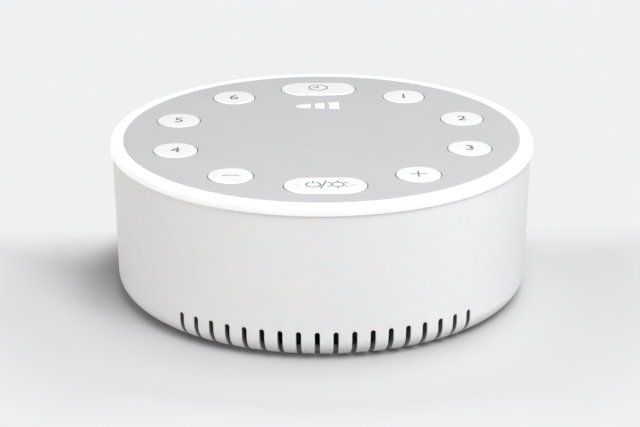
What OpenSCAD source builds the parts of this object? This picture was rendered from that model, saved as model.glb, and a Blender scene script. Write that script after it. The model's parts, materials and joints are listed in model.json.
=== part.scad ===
// Round bedside sound machine: a white drum with a glowing rim round a grey key panel,
// and a loudspeaker facing down, which sounds out through the slots along the front foot.
// Front is -Y, right is +X, up is +Z, and Z = 0 is the surface that the feet stand on.
// Sizes are millimetres. Angles named "turn" are degrees from the front, towards the right.

/* [Body] */
// Outer radius of the light ring, the widest part
ring_r = 65; // [63:0.5:70]
// How far the light ring stands out past the wall below it
ring_proud = 0.7; // [0.3:0.1:1]
// Height from the underside of the body to the key panel
body_h = 47.6; // [47:0.2:56]
// How much the wall's radius shrinks from the ring to the foot
body_draft = 0.7; // [0.2:0.1:1.5]
// Radius of the rounding at the foot of the wall
foot_round = 6; // [5:0.5:7]
// Thickness of the moulded walls
wall_t = 2.2; // [1.8:0.1:2.6]
// Width of the flat lip that the bottom rounding ends in
lip_w = 2.1; // [1.6:0.1:3]

/* [Light ring] */
// Width of the ring seen from above
ring_band = 4; // [3:0.25:5]
// Height of the ring seen from the side
ring_h = 2.8; // [2:0.2:3.6]
// Rounding of the ring's outer top edge
ring_round = 1.2; // [0.6:0.1:1.6]
// Width of the ledge under the edge of the key panel
ledge_w = 3; // [2:0.25:3.2]
// Thickness of that ledge
ledge_t = 1.2; // [0.8:0.1:1.4]
// Depth of the skirt that centres the ring in the wall
skirt_h = 3; // [2:0.5:4]
// Thickness of the skirt
skirt_t = 1.2; // [0.8:0.1:1.5]

/* [Sound slots] */
// Number of slots along the front
slot_count = 18; // [10:2:18]
// Angle between neighbouring slots
slot_pitch = 4.9; // [4:0.1:5]
// Width of a slot
slot_w = 1.5; // [1.1:0.1:2.2]
// Height of the slots' round tops above the underside
slot_h = 8.6; // [7.5:0.1:9.4]

/* [Keys] */
// Distance from the panel's opening in to the circle that the keys lie on
key_inset = 14.2; // [13.6:0.1:15.5]
// Diameter of a round key, and depth of a long one
key_d = 13.2; // [11:0.2:14]
// Length of the two long keys
pill_l = 24.1; // [20:0.1:26]
// How far the keys stand above the panel
key_proud = 0.25; // [0:0.05:0.6]
// Gap round a key in its hole
key_gap = 0.3; // [0.2:0.05:0.4]
// Travel of a key
key_travel = 0.8; // [0.5:0.1:1]
// Width of the flange that stops a key under the panel
flange_w = 0.8; // [0.5:0.1:1]
// Thickness of that flange
flange_t = 1; // [0.7:0.1:1.2]
// Radius of the stem that presses the rubber dome
stem_r = 2; // [1.4:0.1:2.6]

/* [Key panel] */
// Thickness of the key panel
panel_t = 2.2; // [2:0.1:2.5]
// Gap between the panel and the ring round it
panel_gap = 0.1; // [0.05:0.05:0.2]
// Gap between a fully pressed key's flange and the rubber mat
press_clear = 1.2; // [1:0.1:1.6]
// Distance from the panel's opening in to the four long screw posts
post_inset = 12; // [11:0.5:13.5]
// Radius of a long screw post
post_r = 3.2; // [2.8:0.1:3.6]
// Distance from the circle of the keys in to the four board posts
board_post_inset = 16.8; // [14.8:0.2:20]
// Radius of a board post
board_post_r = 2.4; // [2:0.1:2.8]

/* [Level lights] */
// Distance from the circle of the keys in to the lights' middle at their small end
level_inset = 18.2; // [17:0.1:19.5]
// How far the lights' middle line runs back towards their large end
level_rise = 0.6; // [0:0.1:1]
// Distance of the row's middle to the left of the panel's middle
level_shift = 0.65; // [0:0.05:2]
// Gap between neighbouring lights
level_gap = 1.15; // [0.8:0.05:1.5]
// Length of the first light, with its pointed end
level_1_w = 5.1; // [4.8:0.1:5.6]
// Width of the second light
level_2_w = 3.3; // [2.8:0.1:3.8]
// Width of the third light
level_3_w = 3.6; // [3:0.1:4.2]
// Height of the row at its small end
level_low_h = 3.8; // [3:0.1:4.2]
// Height of the row at its large end
level_high_h = 7.6; // [6:0.1:8]

/* [Electronics] */
// Gap between the control board and the wall round it
board_edge_gap = 4; // [3.4:0.1:5]
// Thickness of the circuit boards
board_t = 1.6; // [1:0.2:1.6]
// Thickness of the rubber key mat
mat_t = 0.8; // [0.5:0.1:1]
// Height of a rubber dome above its mat
dome_h = 1.3; // [1.1:0.1:1.5]
// Number of lights under the ring
ring_led_count = 12; // [6:2:24]
// Height of a light on the board
led_h = 0.8; // [0.5:0.1:1]
// Height of the plug sockets under the board
socket_h = 5; // [4:0.5:6]

/* [Speaker] */
// Radius of the opening in the baffle, in front of the cone
cone_window_r = 24.8; // [23:0.1:27]
// Height of the speaker's basket
basket_h = 10.2; // [10:0.1:11]
// Depth of the cone
cone_h = 6.9; // [6:0.1:7.2]
// Outer radius of the voice coil's former
coil_r = 7.4; // [6.8:0.1:7.8]
// Width of the speaker's flange round that opening
speaker_rim = 5.7; // [5:0.1:8]
// Height of the baffle above the base cover
chamber_h = 8; // [7.6:0.1:9]
// Thickness of the baffle
baffle_t = 2; // [1.5:0.1:2.5]
// Thickness of the foam gasket
gasket_t = 0.8; // [0.6:0.1:1]
// Travel of the cone each way
cone_travel = 0.8; // [0.4:0.1:1]
// Outer radius of the magnet
magnet_r = 16.5; // [15.5:0.5:20]
// Thickness of the magnet
magnet_t = 5; // [4:0.5:5.5]

/* [Base] */
// Height of the rubber feet below the underside
foot_h = 1; // [0.5:0.1:2]
// Radius of a rubber foot
foot_r = 5; // [4:0.5:6]
// Distance from the cover's edge in to the middle of a foot
foot_inset = 9.3; // [7:0.1:14]
// Depth of the feet's seats in the base cover
foot_seat = 0.8; // [0.5:0.1:1]
// Gap round the base cover
cover_gap = 0.2; // [0.1:0.05:0.3]
// Radius of a long screw's shank
screw_r = 1.3; // [1:0.05:1.4]
// Length of a long screw's thread inside the post
screw_grip = 8; // [6:0.5:12]

/* [Power inlet] */
// Radius of the hole in the rear wall
inlet_r = 4.2; // [4.2:0.1:4.6]
// Radius of the shallow seat round that hole
inlet_seat_r = 6.5; // [5.5:0.1:7.5]
// Width of the inlet socket
jack_w = 9; // [8:0.5:10]
// Length of the inlet socket
jack_l = 14.4; // [12:0.2:15]
// Height of the inlet socket
jack_h = 11; // [10.6:0.2:12]
// Radius of the socket's bore, for a 5.5 mm plug
jack_bore_r = 2.9; // [2.8:0.05:3.2]
// Depth of that bore
jack_bore_l = 9; // [8:0.1:10]
// Height of the bore's middle above the inlet board
jack_axis_h = 6.5; // [6:0.1:7]
// Radius of the contact pin inside the bore
jack_pin_r = 1; // [0.8:0.05:1.05]

/* [Hidden] */
$fn = 96;
eps = 0.01;

// Heights, from the feet up
flange_gap = 0.1;
base_z = foot_h;
floor_z = base_z + wall_t;
baffle_z = floor_z + chamber_h;
deck_z = baffle_z + baffle_t;
top_z = foot_h + body_h;
ring_z = top_z - ring_h;
panel_z = top_z - panel_t;
ledge_z = panel_z - ledge_t;
board_drop = flange_gap + flange_t + key_travel + press_clear + mat_t;
board_top_z = panel_z - board_drop;
board_z = board_top_z - board_t;
mat_top_z = board_top_z + mat_t;
dome_top_z = mat_top_z + dome_h;

// Radii of the shells
wall_top_r = ring_r - ring_proud;
wall_low_r = wall_top_r - body_draft;
round_r = wall_low_r - foot_round;
round_z = base_z + foot_round;
opening_r = round_r - lip_w;
cover_r = opening_r - cover_gap;
foot_circle_r = cover_r - foot_inset;
panel_hole_r = ring_r - ring_band;
panel_r = panel_hole_r - panel_gap;
fit_gap = 0.2;
foot_clear = 0.1;
skirt_r = wall_top_r - wall_t - fit_gap;
deck_gap = 0.3;
deck_r = wall_low_r - wall_t - deck_gap;
board_r = wall_low_r - wall_t - board_edge_gap;
cut_over = 1;

// Keys, evenly spaced from the front towards the right: a long one at the front and the back
key_count = 10;
PILL_PLACES = [0, key_count / 2];
ROUND_PLACES = [for (i = [1 : key_count - 1]) if (i != key_count / 2) i];
key_circle_r = panel_hole_r - key_inset;
stem_gap = 0.15;
flange_top_z = panel_z - flange_gap;
flange_z = flange_top_z - flange_t;
stem_z = dome_top_z + stem_gap;

// Screw posts, each midway between two keys
POST_TURNS = [54, 126, 234, 306];
BOARD_POST_TURNS = [45, 135, 225, 315];
FOOT_TURNS = [0, 90, 180, 270];
post_circle_r = panel_hole_r - post_inset;
board_post_circle_r = key_circle_r - board_post_inset;
post_clear = 0.4;
boss_skin = 0.4;
boss_r = post_r + boss_skin;
screw_clear = 0.3;
pilot_clear = 0.05;
screw_hole_r = screw_r + screw_clear;
pilot_r = screw_r + pilot_clear;
pilot_spare = 1;
head_r = 2 * screw_r;
head_h = 1.3;
head_sink = 0.1;
head_clear = 0.3;
rib_t = 1.6;
small_screw_r = 0.8;
small_screw_clear = 0.2;
small_pilot_r = small_screw_r + pilot_clear;
small_hole_r = small_screw_r + small_screw_clear;
small_head_r = 1.7;
small_head_h = 1.2;
small_screw_spare = 0.6;

// Slots
slot_top_z = base_z + slot_h;
slot_in = 0.3;

// Rubber key mat
mat_in_margin = 3;
mat_out_margin = 0.5;
mat_in_r = key_circle_r - key_d / 2 - mat_in_margin;
mat_out_r = key_circle_r + key_d / 2 + mat_out_margin;
dome_base_r = 3.6;
dome_top_margin = 0.4;
dome_skin = 0.7;
dome_wall = 0.2;

// Level lights
level_w = level_1_w + level_2_w + level_3_w + 2 * level_gap;
level_x = -level_w / 2 - level_shift;
level_y = key_circle_r - level_inset;
level_mid_y = level_y + level_rise / 2;
level_1_end = level_x + level_1_w;
level_2_x = level_1_end + level_gap;
level_2_end = level_2_x + level_2_w;
level_3_x = level_2_end + level_gap;
level_3_end = level_3_x + level_3_w;
level_tip_w = 2.6;
level_tip_r = (pow(level_tip_w, 2) + pow(level_low_h / 2, 2)) / level_low_h;
level_clear = 0.05;
pipe_flange_t = 1.2;
pipe_margin = 1.5;
pipe_leg_w = 2.6;
led_gap = 0.2;
LEVEL_CENTRES = [
    (level_x + level_1_end) / 2,
    (level_2_x + level_2_end) / 2,
    (level_3_x + level_3_end) / 2
];

// Loudspeaker, from its front up to the back of its magnet
basket_t = 1;
speaker_r = cone_window_r + speaker_rim;
speaker_z = deck_z + gasket_t;
flange_hi_z = speaker_z + basket_t;
basket_gap = 0.2;
gasket_seat = 2;
gasket_in_r = cone_window_r + gasket_seat;
gasket_out_r = speaker_r - fit_gap;
roll_r = 1.6;
roll_t = 0.4;
roll_inset = 2.2;
roll_mid_r = cone_window_r - roll_inset;
lip_t = 0.4;
cone_edge = 0.6;
cone_foot = 0.8;
cone_r = roll_mid_r - roll_r - cone_edge;
cone_t = 0.5;
cone_gap = 0.1;
cone_z = speaker_z + cone_gap;
neck_z = cone_z + cone_h;
former_t = 0.35;
former_bare = 0.2;
winding_t = 0.2;
coil_gap = 0.35;
cap_glue_w = 0.5;
cap_drop = 0.35;
cap_t = 0.4;
cap_ball_r = 14;
cap_z = neck_z - cap_drop;
seat_z = speaker_z + basket_h;
seat_skin = 0.6;
seat_hole_gap = 1.2;
seat_hole_r = coil_r + seat_hole_gap;
seat_margin = 0.7;
plate_t = 2.2;
winding_under = cone_travel - former_bare;
winding_over = plate_t + cone_travel;
former_over = winding_over + former_bare;
plate_r = magnet_r - 2;
seat_r = plate_r + seat_margin;
magnet_z = seat_z + plate_t;
magnet_hole_gap = 2.6;
magnet_hole_r = coil_r + magnet_hole_gap;
yoke_z = magnet_z + magnet_t;
yoke_t = 1.8;
yoke_r = magnet_r - 1.5;
window_w = 9;
window_low = 1.4;
window_high = 1.8;
spider_gap = 0.4;
spider_t = 0.4;
spider_z = neck_z + cone_t + spider_gap;
spider_coil_gap = 0.1;
spider_waves = 4;
spider_wave_h = 0.3;
speaker_screw_inset = 2.3;
speaker_screw_circle_r = speaker_r - speaker_screw_inset;
speaker_screw_r = 1;
speaker_screw_hole_r = speaker_screw_r + small_screw_clear;
speaker_pilot_r = speaker_screw_r + pilot_clear;
speaker_head_r = 1.9;
speaker_head_h = 1.3;
strip_w = 11;
strip_d = 3;
strip_t = 0.8;
tag_x = 3;
tag_w = 2;
tag_t = 0.5;
tag_h = 3.6;
tag_y = speaker_r - strip_d;
tag_top_z = flange_hi_z + strip_t + tag_h;

// Power inlet
jack_face_gap = 0.3;
jack_y = sqrt(pow(wall_low_r - wall_t, 2) - pow(jack_w / 2, 2)) - jack_face_gap;
inlet_post_h = 3;
inlet_board_z = deck_z + inlet_post_h;
inlet_board_t = 1.2;
jack_z = inlet_board_z + inlet_board_t;
jack_axis_z = jack_z + jack_axis_h;
jack_pin_short = 1;
inlet_seat_depth = 0.9;
inlet_board_w = 22;
inlet_board_l = 17;
inlet_board_inset = 0.6;
inlet_board_y = jack_y - inlet_board_inset - inlet_board_l;
inlet_screw_x = 8;
inlet_screw_y = inlet_board_y + inlet_board_l / 2;

// Under the control board: sockets, one large and two small chips, and capacitors
socket_w = 7;
socket_d = 4.6;
socket_over = 1.6;
speaker_socket_gap = 2.5;
speaker_socket_y = speaker_r + speaker_socket_gap;
power_socket_y = inlet_board_y + socket_over;
chip_inset = 8;
chip_circle_r = board_post_circle_r - chip_inset;
LARGE_CHIP_TURN = 275;
SMALL_CHIP_TURNS = [110, 250];
large_chip_l = 8;
large_chip_w = 7;
small_chip_l = 6;
small_chip_w = 4.6;
chip_h = 1.6;
leg_l = 1;
leg_fill = 0.45;
chip_lift = 0.1;
CAPACITOR_TURNS = [62, 77, 252];
can_r = 3.15;
can_h = 5.4;
can_base_w = 6.6;
can_base_h = 0.8;
led_l = 3;
led_w = 1.6;
level_led_l = 2;
led_edge = 1.6;

// Inner wires
wire_r = 0.5;
wire_pitch = 2.5;
power_pad_x = 1.8;
power_pad_y = power_socket_y - 0.4;
speaker_bow = 1.5;
power_bow = [1.5, -3];

// Blank label seat under the base
label_w = 34;
label_d = 20;
label_depth = 0.3;

// Moves its children out to a radius, at a turn from the front
module around(radius, turn) {
    rotate([0, 0, turn]) translate([0, -radius, 0]) children();
}

// Moves its children out without turning them
module at_turn(radius, turn) {
    translate([radius * sin(turn), -radius * cos(turn), 0]) children();
}

// A round bar from one height to another
module post(radius, z_low, z_high) {
    translate([0, 0, z_low]) cylinder(r = radius, h = z_high - z_low);
}

// A flat ring from one height to another
module washer(r_in, r_out, z_low, z_high) {
    translate([0, 0, z_low]) linear_extrude(z_high - z_low) difference() {
        circle(r = r_out);
        circle(r = r_in);
    }
}

// A box centred on X and Y, from one height to another
module block(x_size, y_size, z_low, z_high) {
    translate([-x_size / 2, -y_size / 2, z_low]) cube([x_size, y_size, z_high - z_low]);
}

// A screw with a crossed head: the shank points along +Z from the head
module cross_screw(shank_r, shank_l, cap_r, cap_h) {
    slot_l = cap_r * 1.2;
    slot_t = cap_r * 0.32;
    slot_floor = -cap_h * 0.45;
    difference() {
        union() {
            post(shank_r, slot_floor / 2, shank_l);
            post(cap_r, -cap_h, 0);
        }
        for (turn = [0, 90]) {
            rotate([0, 0, turn]) block(slot_l, slot_t, -cap_h - cut_over, slot_floor);
        }
    }
}

// A point on the smooth curve that leaves its start and reaches its end straight up
function curve_point(start, finish, bow, t) =
    let (lead = (finish.z - start.z) / 3)
    let (low = start + [bow.x, bow.y, lead], high = finish + [bow.x, bow.y, -lead])
    pow(1 - t, 3) * start + 3 * pow(1 - t, 2) * t * low
        + 3 * (1 - t) * pow(t, 2) * high + pow(t, 3) * finish;

// A wire that rises from one terminal to another, bowed to one side
module wire(start, finish, bow, radius) {
    sides = 8;
    rings = 12;
    points = [
        for (i = [0 : rings], s = [0 : sides - 1])
            curve_point(start, finish, bow, i / rings)
                + radius * [cos(s * 360 / sides), sin(s * 360 / sides), 0]
    ];
    skin = [
        for (i = [0 : rings - 1], s = [0 : sides - 1])
            let (here = i * sides, next = (s + 1) % sides)
            for (corners = [[here + s, here + sides + s, here + next],
                    [here + next, here + sides + s, here + sides + next]])
                corners
    ];
    low_end = [[for (s = [0 : sides - 1]) s]];
    high_end = [[for (s = [sides - 1 : -1 : 0]) rings * sides + s]];
    polyhedron(points, concat(skin, low_end, high_end));
}

// Outline of the drum's outer or inner wall, on the right of the axis
module drum_outline(inset) {
    low_r = wall_low_r - inset;
    top_r = wall_top_r - inset;
    polygon([
        [0, base_z + inset],
        [round_r, base_z + inset],
        [round_r, round_z],
        [low_r, round_z],
        [top_r, ring_z],
        [0, ring_z]
    ]);
    translate([round_r, round_z]) circle(r = foot_round - inset);
}

module slot_cutter() {
    cut_l = ring_r - round_r;
    translate([-slot_w / 2, -ring_r, base_z - cut_over])
        cube([slot_w, cut_l + slot_in, slot_h + cut_over - slot_w / 2]);
    translate([0, -ring_r, slot_top_z - slot_w / 2])
        rotate([-90, 0, 0]) cylinder(r = slot_w / 2, h = cut_l + slot_in, $fn = 32);
}

module housing() {
    color([0.92, 0.92, 0.92]) difference() {
        rotate_extrude() drum_outline(0);
        difference() {
            rotate_extrude() drum_outline(wall_t);
            // The bosses and their ribs stay in the hollow
            for (turn = POST_TURNS) {
                around(post_circle_r, turn) {
                    post(boss_r, floor_z - cut_over, baffle_z);
                    translate([-rib_t / 2, -ring_r, floor_z - cut_over])
                        cube([rib_t, ring_r, baffle_z - floor_z + cut_over]);
                }
            }
        }
        post(opening_r, base_z - cut_over, floor_z);
        for (i = [0 : slot_count - 1]) {
            rotate([0, 0, (i - (slot_count - 1) / 2) * slot_pitch]) slot_cutter();
        }
        for (turn = POST_TURNS) {
            around(post_circle_r, turn)
                post(screw_hole_r, base_z - cut_over, baffle_z + cut_over);
        }
        translate([0, 0, jack_axis_z]) rotate([-90, 0, 0]) {
            cylinder(r = inlet_r, h = ring_r);
            translate([0, 0, wall_low_r - inlet_seat_depth]) cylinder(r = inlet_seat_r, h = ring_r);
        }
    }
}

module light_ring() {
    color([1, 1, 1]) rotate_extrude() {
        // The band that shows, with its rounded outer edge
        polygon([
            [panel_hole_r, ring_z],
            [ring_r, ring_z],
            [ring_r, top_z - ring_round],
            [ring_r - ring_round, top_z - ring_round],
            [ring_r - ring_round, top_z],
            [panel_hole_r, top_z]
        ]);
        translate([ring_r - ring_round, top_z - ring_round]) circle(r = ring_round);
        // The ledge that the panel rests on
        translate([panel_hole_r - ledge_w, ledge_z])
            square([ledge_w + skirt_r - panel_hole_r, ledge_t]);
        // The skirt, and the neck that joins it to the band
        translate([skirt_r - skirt_t, ring_z - skirt_h])
            square([skirt_t, ledge_z + ledge_t / 2 - ring_z + skirt_h]);
        translate([panel_hole_r, ledge_z])
            square([skirt_r - panel_hole_r, top_z - ring_round - ledge_z]);
    }
}

// Outline of a round key or its hole, grown by a margin
module round_outline(margin) {
    circle(r = key_d / 2 + margin);
}

// Outline of a long key or its hole, grown by a margin
module pill_outline(margin) {
    end_x = (pill_l - key_d) / 2;
    half = key_d / 2 + margin;
    for (side = [-1, 1]) {
        translate([side * end_x, 0]) circle(r = half);
    }
    translate([-end_x, -half]) square([2 * end_x, 2 * half]);
}

// Outlines of the three level lights, a wedge that starts in a soft point
module level_outline(margin) {
    wedge_x = level_x + level_tip_w;
    function along(x) = (x - wedge_x) / (level_3_end - wedge_x);
    function half_at(x) = level_low_h / 2 + (level_high_h - level_low_h) / 2 * along(x);
    function middle_at(x) = level_rise * along(x);
    for (ends = [[wedge_x, level_1_end], [level_2_x, level_2_end], [level_3_x, level_3_end]]) {
        left = ends[0] - (ends[0] == wedge_x ? 0 : margin);
        right = ends[1] + margin;
        polygon([
            [left, middle_at(left) - half_at(left) - margin],
            [right, middle_at(right) - half_at(right) - margin],
            [right, middle_at(right) + half_at(right) + margin],
            [left, middle_at(left) + half_at(left) + margin]
        ]);
    }
    intersection() {
        translate([wedge_x, level_low_h / 2 - level_tip_r]) circle(r = level_tip_r + margin);
        translate([wedge_x, level_tip_r - level_low_h / 2]) circle(r = level_tip_r + margin);
        translate([level_x - 1, -level_low_h]) square([level_tip_w + 1 + eps, 2 * level_low_h]);
    }
}

// Moves its children to a key's place on the key circle, without turning them
module at_key(place) {
    at_turn(key_circle_r, place * 360 / key_count) children();
}

module fascia() {
    hole_z = panel_z - cut_over;
    hole_h = panel_t + 2 * cut_over;
    color([0.62, 0.62, 0.64]) difference() {
        union() {
            post(panel_r, panel_z, top_z);
            for (turn = POST_TURNS) {
                around(post_circle_r, turn) post(post_r, deck_z, panel_z + eps);
            }
            for (turn = BOARD_POST_TURNS) {
                around(board_post_circle_r, turn) post(board_post_r, board_top_z, panel_z + eps);
            }
        }
        for (place = ROUND_PLACES) {
            at_key(place)
                translate([0, 0, hole_z]) linear_extrude(hole_h) round_outline(key_gap);
        }
        for (place = PILL_PLACES) {
            at_key(place)
                translate([0, 0, hole_z]) linear_extrude(hole_h) pill_outline(key_gap);
        }
        translate([0, level_y, hole_z]) linear_extrude(hole_h) level_outline(level_clear);
        for (turn = POST_TURNS) {
            around(post_circle_r, turn)
                post(pilot_r, deck_z - cut_over, deck_z + screw_grip + pilot_spare);
        }
        for (turn = BOARD_POST_TURNS) {
            around(board_post_circle_r, turn)
                post(small_pilot_r, board_top_z - cut_over, panel_z);
        }
    }
}

// Stem and dome finger under every key
module key_stem() {
    post(stem_r, stem_z, flange_z + eps);
}

module round_key(place) {
    color([0.97, 0.97, 0.98]) at_key(place) {
        post(key_d / 2, flange_top_z - eps, top_z + key_proud);
        post(key_d / 2 + flange_w, flange_z, flange_top_z);
        key_stem();
    }
}

module pill_key(place) {
    color([0.97, 0.97, 0.98]) at_key(place) {
        translate([0, 0, flange_top_z - eps])
            linear_extrude(top_z + key_proud - flange_top_z + eps) pill_outline(0);
        translate([0, 0, flange_z]) linear_extrude(flange_t) pill_outline(flange_w);
        key_stem();
    }
}

module level_light_pipe() {
    plate_w = level_w + 2 * pipe_margin;
    plate_d = level_high_h + 2 * pipe_margin;
    color([1, 1, 1]) {
        translate([0, level_y, panel_z - eps]) linear_extrude(panel_t + eps) level_outline(0);
        translate([-level_shift, level_mid_y, 0])
            block(plate_w, plate_d, panel_z - pipe_flange_t, panel_z);
        for (x = LEVEL_CENTRES) {
            translate([x, level_mid_y, 0])
                block(pipe_leg_w, pipe_leg_w, board_top_z + led_h + led_gap,
                    panel_z - pipe_flange_t + eps);
        }
    }
}

module dome_mat() {
    color([0.75, 0.78, 0.8]) difference() {
        union() {
            washer(mat_in_r, mat_out_r, board_top_z, mat_top_z);
            for (place = [0 : key_count - 1]) {
                at_key(place) translate([0, 0, mat_top_z - eps])
                    cylinder(r1 = dome_base_r, r2 = stem_r + dome_top_margin, h = dome_h + eps);
            }
        }
        for (place = [0 : key_count - 1]) {
            at_key(place) translate([0, 0, board_top_z - eps])
                cylinder(r1 = dome_base_r - dome_wall, r2 = stem_r - dome_wall,
                    h = mat_t + dome_h - dome_skin);
        }
        for (turn = POST_TURNS) {
            around(post_circle_r, turn) post(post_r + post_clear, board_z, dome_top_z);
        }
    }
}

module control_board() {
    color([0.05, 0.35, 0.2]) difference() {
        post(board_r, board_z, board_top_z);
        for (turn = POST_TURNS) {
            around(post_circle_r, turn)
                post(post_r + post_clear, board_z - cut_over, board_top_z + cut_over);
        }
        for (turn = BOARD_POST_TURNS) {
            around(board_post_circle_r, turn)
                post(small_hole_r, board_z - cut_over, board_top_z + cut_over);
        }
    }
}

module ring_leds() {
    color([1, 0.95, 0.7]) for (i = [0 : ring_led_count - 1]) {
        around(board_r - led_edge, (i + 0.5) * 360 / ring_led_count)
            block(led_l, led_w, board_top_z, board_top_z + led_h);
    }
}

module level_leds() {
    color([1, 0.95, 0.7]) for (x = LEVEL_CENTRES) {
        translate([x, level_mid_y, 0])
            block(level_led_l, led_w, board_top_z, board_top_z + led_h);
    }
}

// One chip under the board: a black body with legs along two sides
module chip(x_size, y_size, legs) {
    leg_pitch = x_size / (legs + 1);
    block(x_size, y_size, board_z - chip_h, board_z - chip_lift);
    for (side = [-1, 1]) {
        for (i = [1 : legs]) {
            translate([-x_size / 2 + i * leg_pitch, side * (y_size + 0.8 * leg_l) / 2, 0])
                block(leg_pitch * leg_fill, leg_l, board_z - chip_h / 2, board_z);
        }
    }
}

module chips() {
    color([0.1, 0.1, 0.11]) {
        at_turn(chip_circle_r, LARGE_CHIP_TURN) chip(large_chip_l, large_chip_w, 6);
        for (turn = SMALL_CHIP_TURNS) {
            at_turn(chip_circle_r, turn) chip(small_chip_l, small_chip_w, 4);
        }
    }
}

module capacitors() {
    color([0.2, 0.22, 0.3]) for (turn = CAPACITOR_TURNS) {
        at_turn(board_post_circle_r, turn) {
            post(can_r, board_z - can_h, board_z - can_base_h);
            block(can_base_w, can_base_w, board_z - can_base_h - eps, board_z);
        }
    }
}

module board_sockets() {
    color([0.93, 0.91, 0.85]) for (y = [speaker_socket_y, power_socket_y]) {
        translate([0, y, 0]) block(socket_w, socket_d, board_z - socket_h, board_z);
    }
}

module board_screws() {
    color([0.7, 0.7, 0.72]) for (turn = BOARD_POST_TURNS) {
        around(board_post_circle_r, turn) translate([0, 0, board_z])
            cross_screw(small_screw_r, board_t + board_drop - small_screw_spare,
                small_head_r, small_head_h);
    }
}

module baffle() {
    color([0.2, 0.2, 0.21]) difference() {
        union() {
            post(deck_r, baffle_z, deck_z);
            for (side = [-1, 1]) {
                translate([side * inlet_screw_x, inlet_screw_y, 0])
                    post(board_post_r, deck_z - eps, inlet_board_z);
            }
        }
        post(cone_window_r, baffle_z - cut_over, deck_z + cut_over);
        for (turn = POST_TURNS) {
            around(post_circle_r, turn)
                post(screw_hole_r, baffle_z - cut_over, deck_z + cut_over);
        }
        for (turn = BOARD_POST_TURNS) {
            around(speaker_screw_circle_r, turn)
                post(speaker_pilot_r, baffle_z - cut_over, deck_z + cut_over);
        }
        for (side = [-1, 1]) {
            translate([side * inlet_screw_x, inlet_screw_y, 0])
                post(small_pilot_r, baffle_z - cut_over, inlet_board_z + cut_over);
        }
    }
}

module speaker_gasket() {
    color([0.12, 0.12, 0.12]) difference() {
        washer(gasket_in_r, gasket_out_r, deck_z, speaker_z);
        for (turn = BOARD_POST_TURNS) {
            around(speaker_screw_circle_r, turn)
                post(speaker_screw_hole_r, deck_z - cut_over, speaker_z + cut_over);
        }
    }
}

module speaker_basket() {
    rim_r = cone_window_r + basket_gap;
    window_z = flange_hi_z + window_low;
    color([0.3, 0.3, 0.32]) difference() {
        rotate_extrude() polygon([
            [rim_r, speaker_z],
            [speaker_r, speaker_z],
            [speaker_r, flange_hi_z],
            [rim_r + basket_t, flange_hi_z],
            [seat_r, seat_z],
            [seat_hole_r, seat_z],
            [seat_hole_r, seat_z - basket_t],
            [seat_r - seat_skin, seat_z - basket_t],
            [rim_r, flange_hi_z - basket_gap]
        ]);
        for (i = [0 : 5]) {
            rotate([0, 0, i * 60]) translate([seat_r + window_low, -window_w / 2, window_z])
                cube([speaker_r, window_w, seat_z - window_high - window_z]);
        }
        for (turn = BOARD_POST_TURNS) {
            around(speaker_screw_circle_r, turn)
                post(speaker_screw_hole_r, speaker_z - cut_over, flange_hi_z + cut_over);
        }
    }
}

module speaker_surround() {
    color([0.08, 0.08, 0.08]) rotate_extrude() {
        difference() {
            translate([roll_mid_r, speaker_z]) circle(r = roll_r);
            translate([roll_mid_r, speaker_z]) circle(r = roll_r - roll_t);
            translate([roll_mid_r - 2 * roll_r, speaker_z]) square(4 * roll_r);
        }
        translate([roll_mid_r + roll_r - roll_t, speaker_z - lip_t])
            square([gasket_in_r - fit_gap - roll_mid_r - roll_r + roll_t, lip_t]);
        translate([cone_r - cone_foot, speaker_z - lip_t])
            square([roll_mid_r - roll_r + roll_t - cone_r + cone_foot, lip_t]);
    }
}

module speaker_cone() {
    color([0.16, 0.16, 0.17]) rotate_extrude() polygon([
        [cone_r - cone_foot, cone_z],
        [cone_r, cone_z],
        [cone_r, cone_z + cone_t],
        [coil_r, neck_z + cone_t],
        [coil_r, neck_z]
    ]);
}

module dust_cap() {
    cap_r = coil_r + cap_glue_w;
    sag = cap_ball_r - sqrt(pow(cap_ball_r, 2) - pow(cap_r, 2));
    color([0.16, 0.16, 0.17]) intersection() {
        translate([0, 0, cap_z - sag + cap_ball_r]) difference() {
            sphere(r = cap_ball_r);
            sphere(r = cap_ball_r - cap_t);
        }
        post(cap_r + cut_over, cap_z - sag - cut_over, cap_z);
    }
}

module voice_coil() {
    color([0.75, 0.45, 0.2]) {
        washer(coil_r - former_t, coil_r, cap_z, seat_z + former_over);
        washer(coil_r - eps, coil_r + winding_t, seat_z - winding_under, seat_z + winding_over);
    }
}

// A cloth ring pressed into shallow waves, glued to the basket's wall
module spider() {
    in_r = coil_r + spider_coil_gap;
    wall_slope = (seat_r - seat_skin - cone_window_r - basket_gap)
        / (seat_z - basket_t - flange_hi_z + basket_gap);
    wall_r = cone_window_r + basket_gap + wall_slope
        * (spider_z + spider_t + spider_wave_h - flange_hi_z + basket_gap);
    out_r = wall_r - spider_coil_gap;
    pitch = (out_r - in_r) / (2 * spider_waves);
    crest = [for (i = [0 : 2 * spider_waves]) [in_r + i * pitch, (i % 2) * spider_wave_h]];
    color([0.85, 0.75, 0.5]) rotate_extrude() polygon(concat(
        [for (p = crest) [p.x, spider_z + p.y]],
        [for (i = [2 * spider_waves : -1 : 0]) [crest[i].x, spider_z + spider_t + crest[i].y]]
    ));
}

module front_plate() {
    color([0.6, 0.6, 0.62])
        washer(coil_r + winding_t + coil_gap, plate_r, seat_z, magnet_z);
}

module magnet() {
    color([0.13, 0.13, 0.14]) washer(magnet_hole_r, magnet_r, magnet_z, yoke_z);
}

module yoke() {
    color([0.6, 0.6, 0.62]) {
        post(yoke_r, yoke_z, yoke_z + yoke_t);
        post(coil_r - former_t - coil_gap, seat_z, yoke_z + eps);
    }
}

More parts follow.
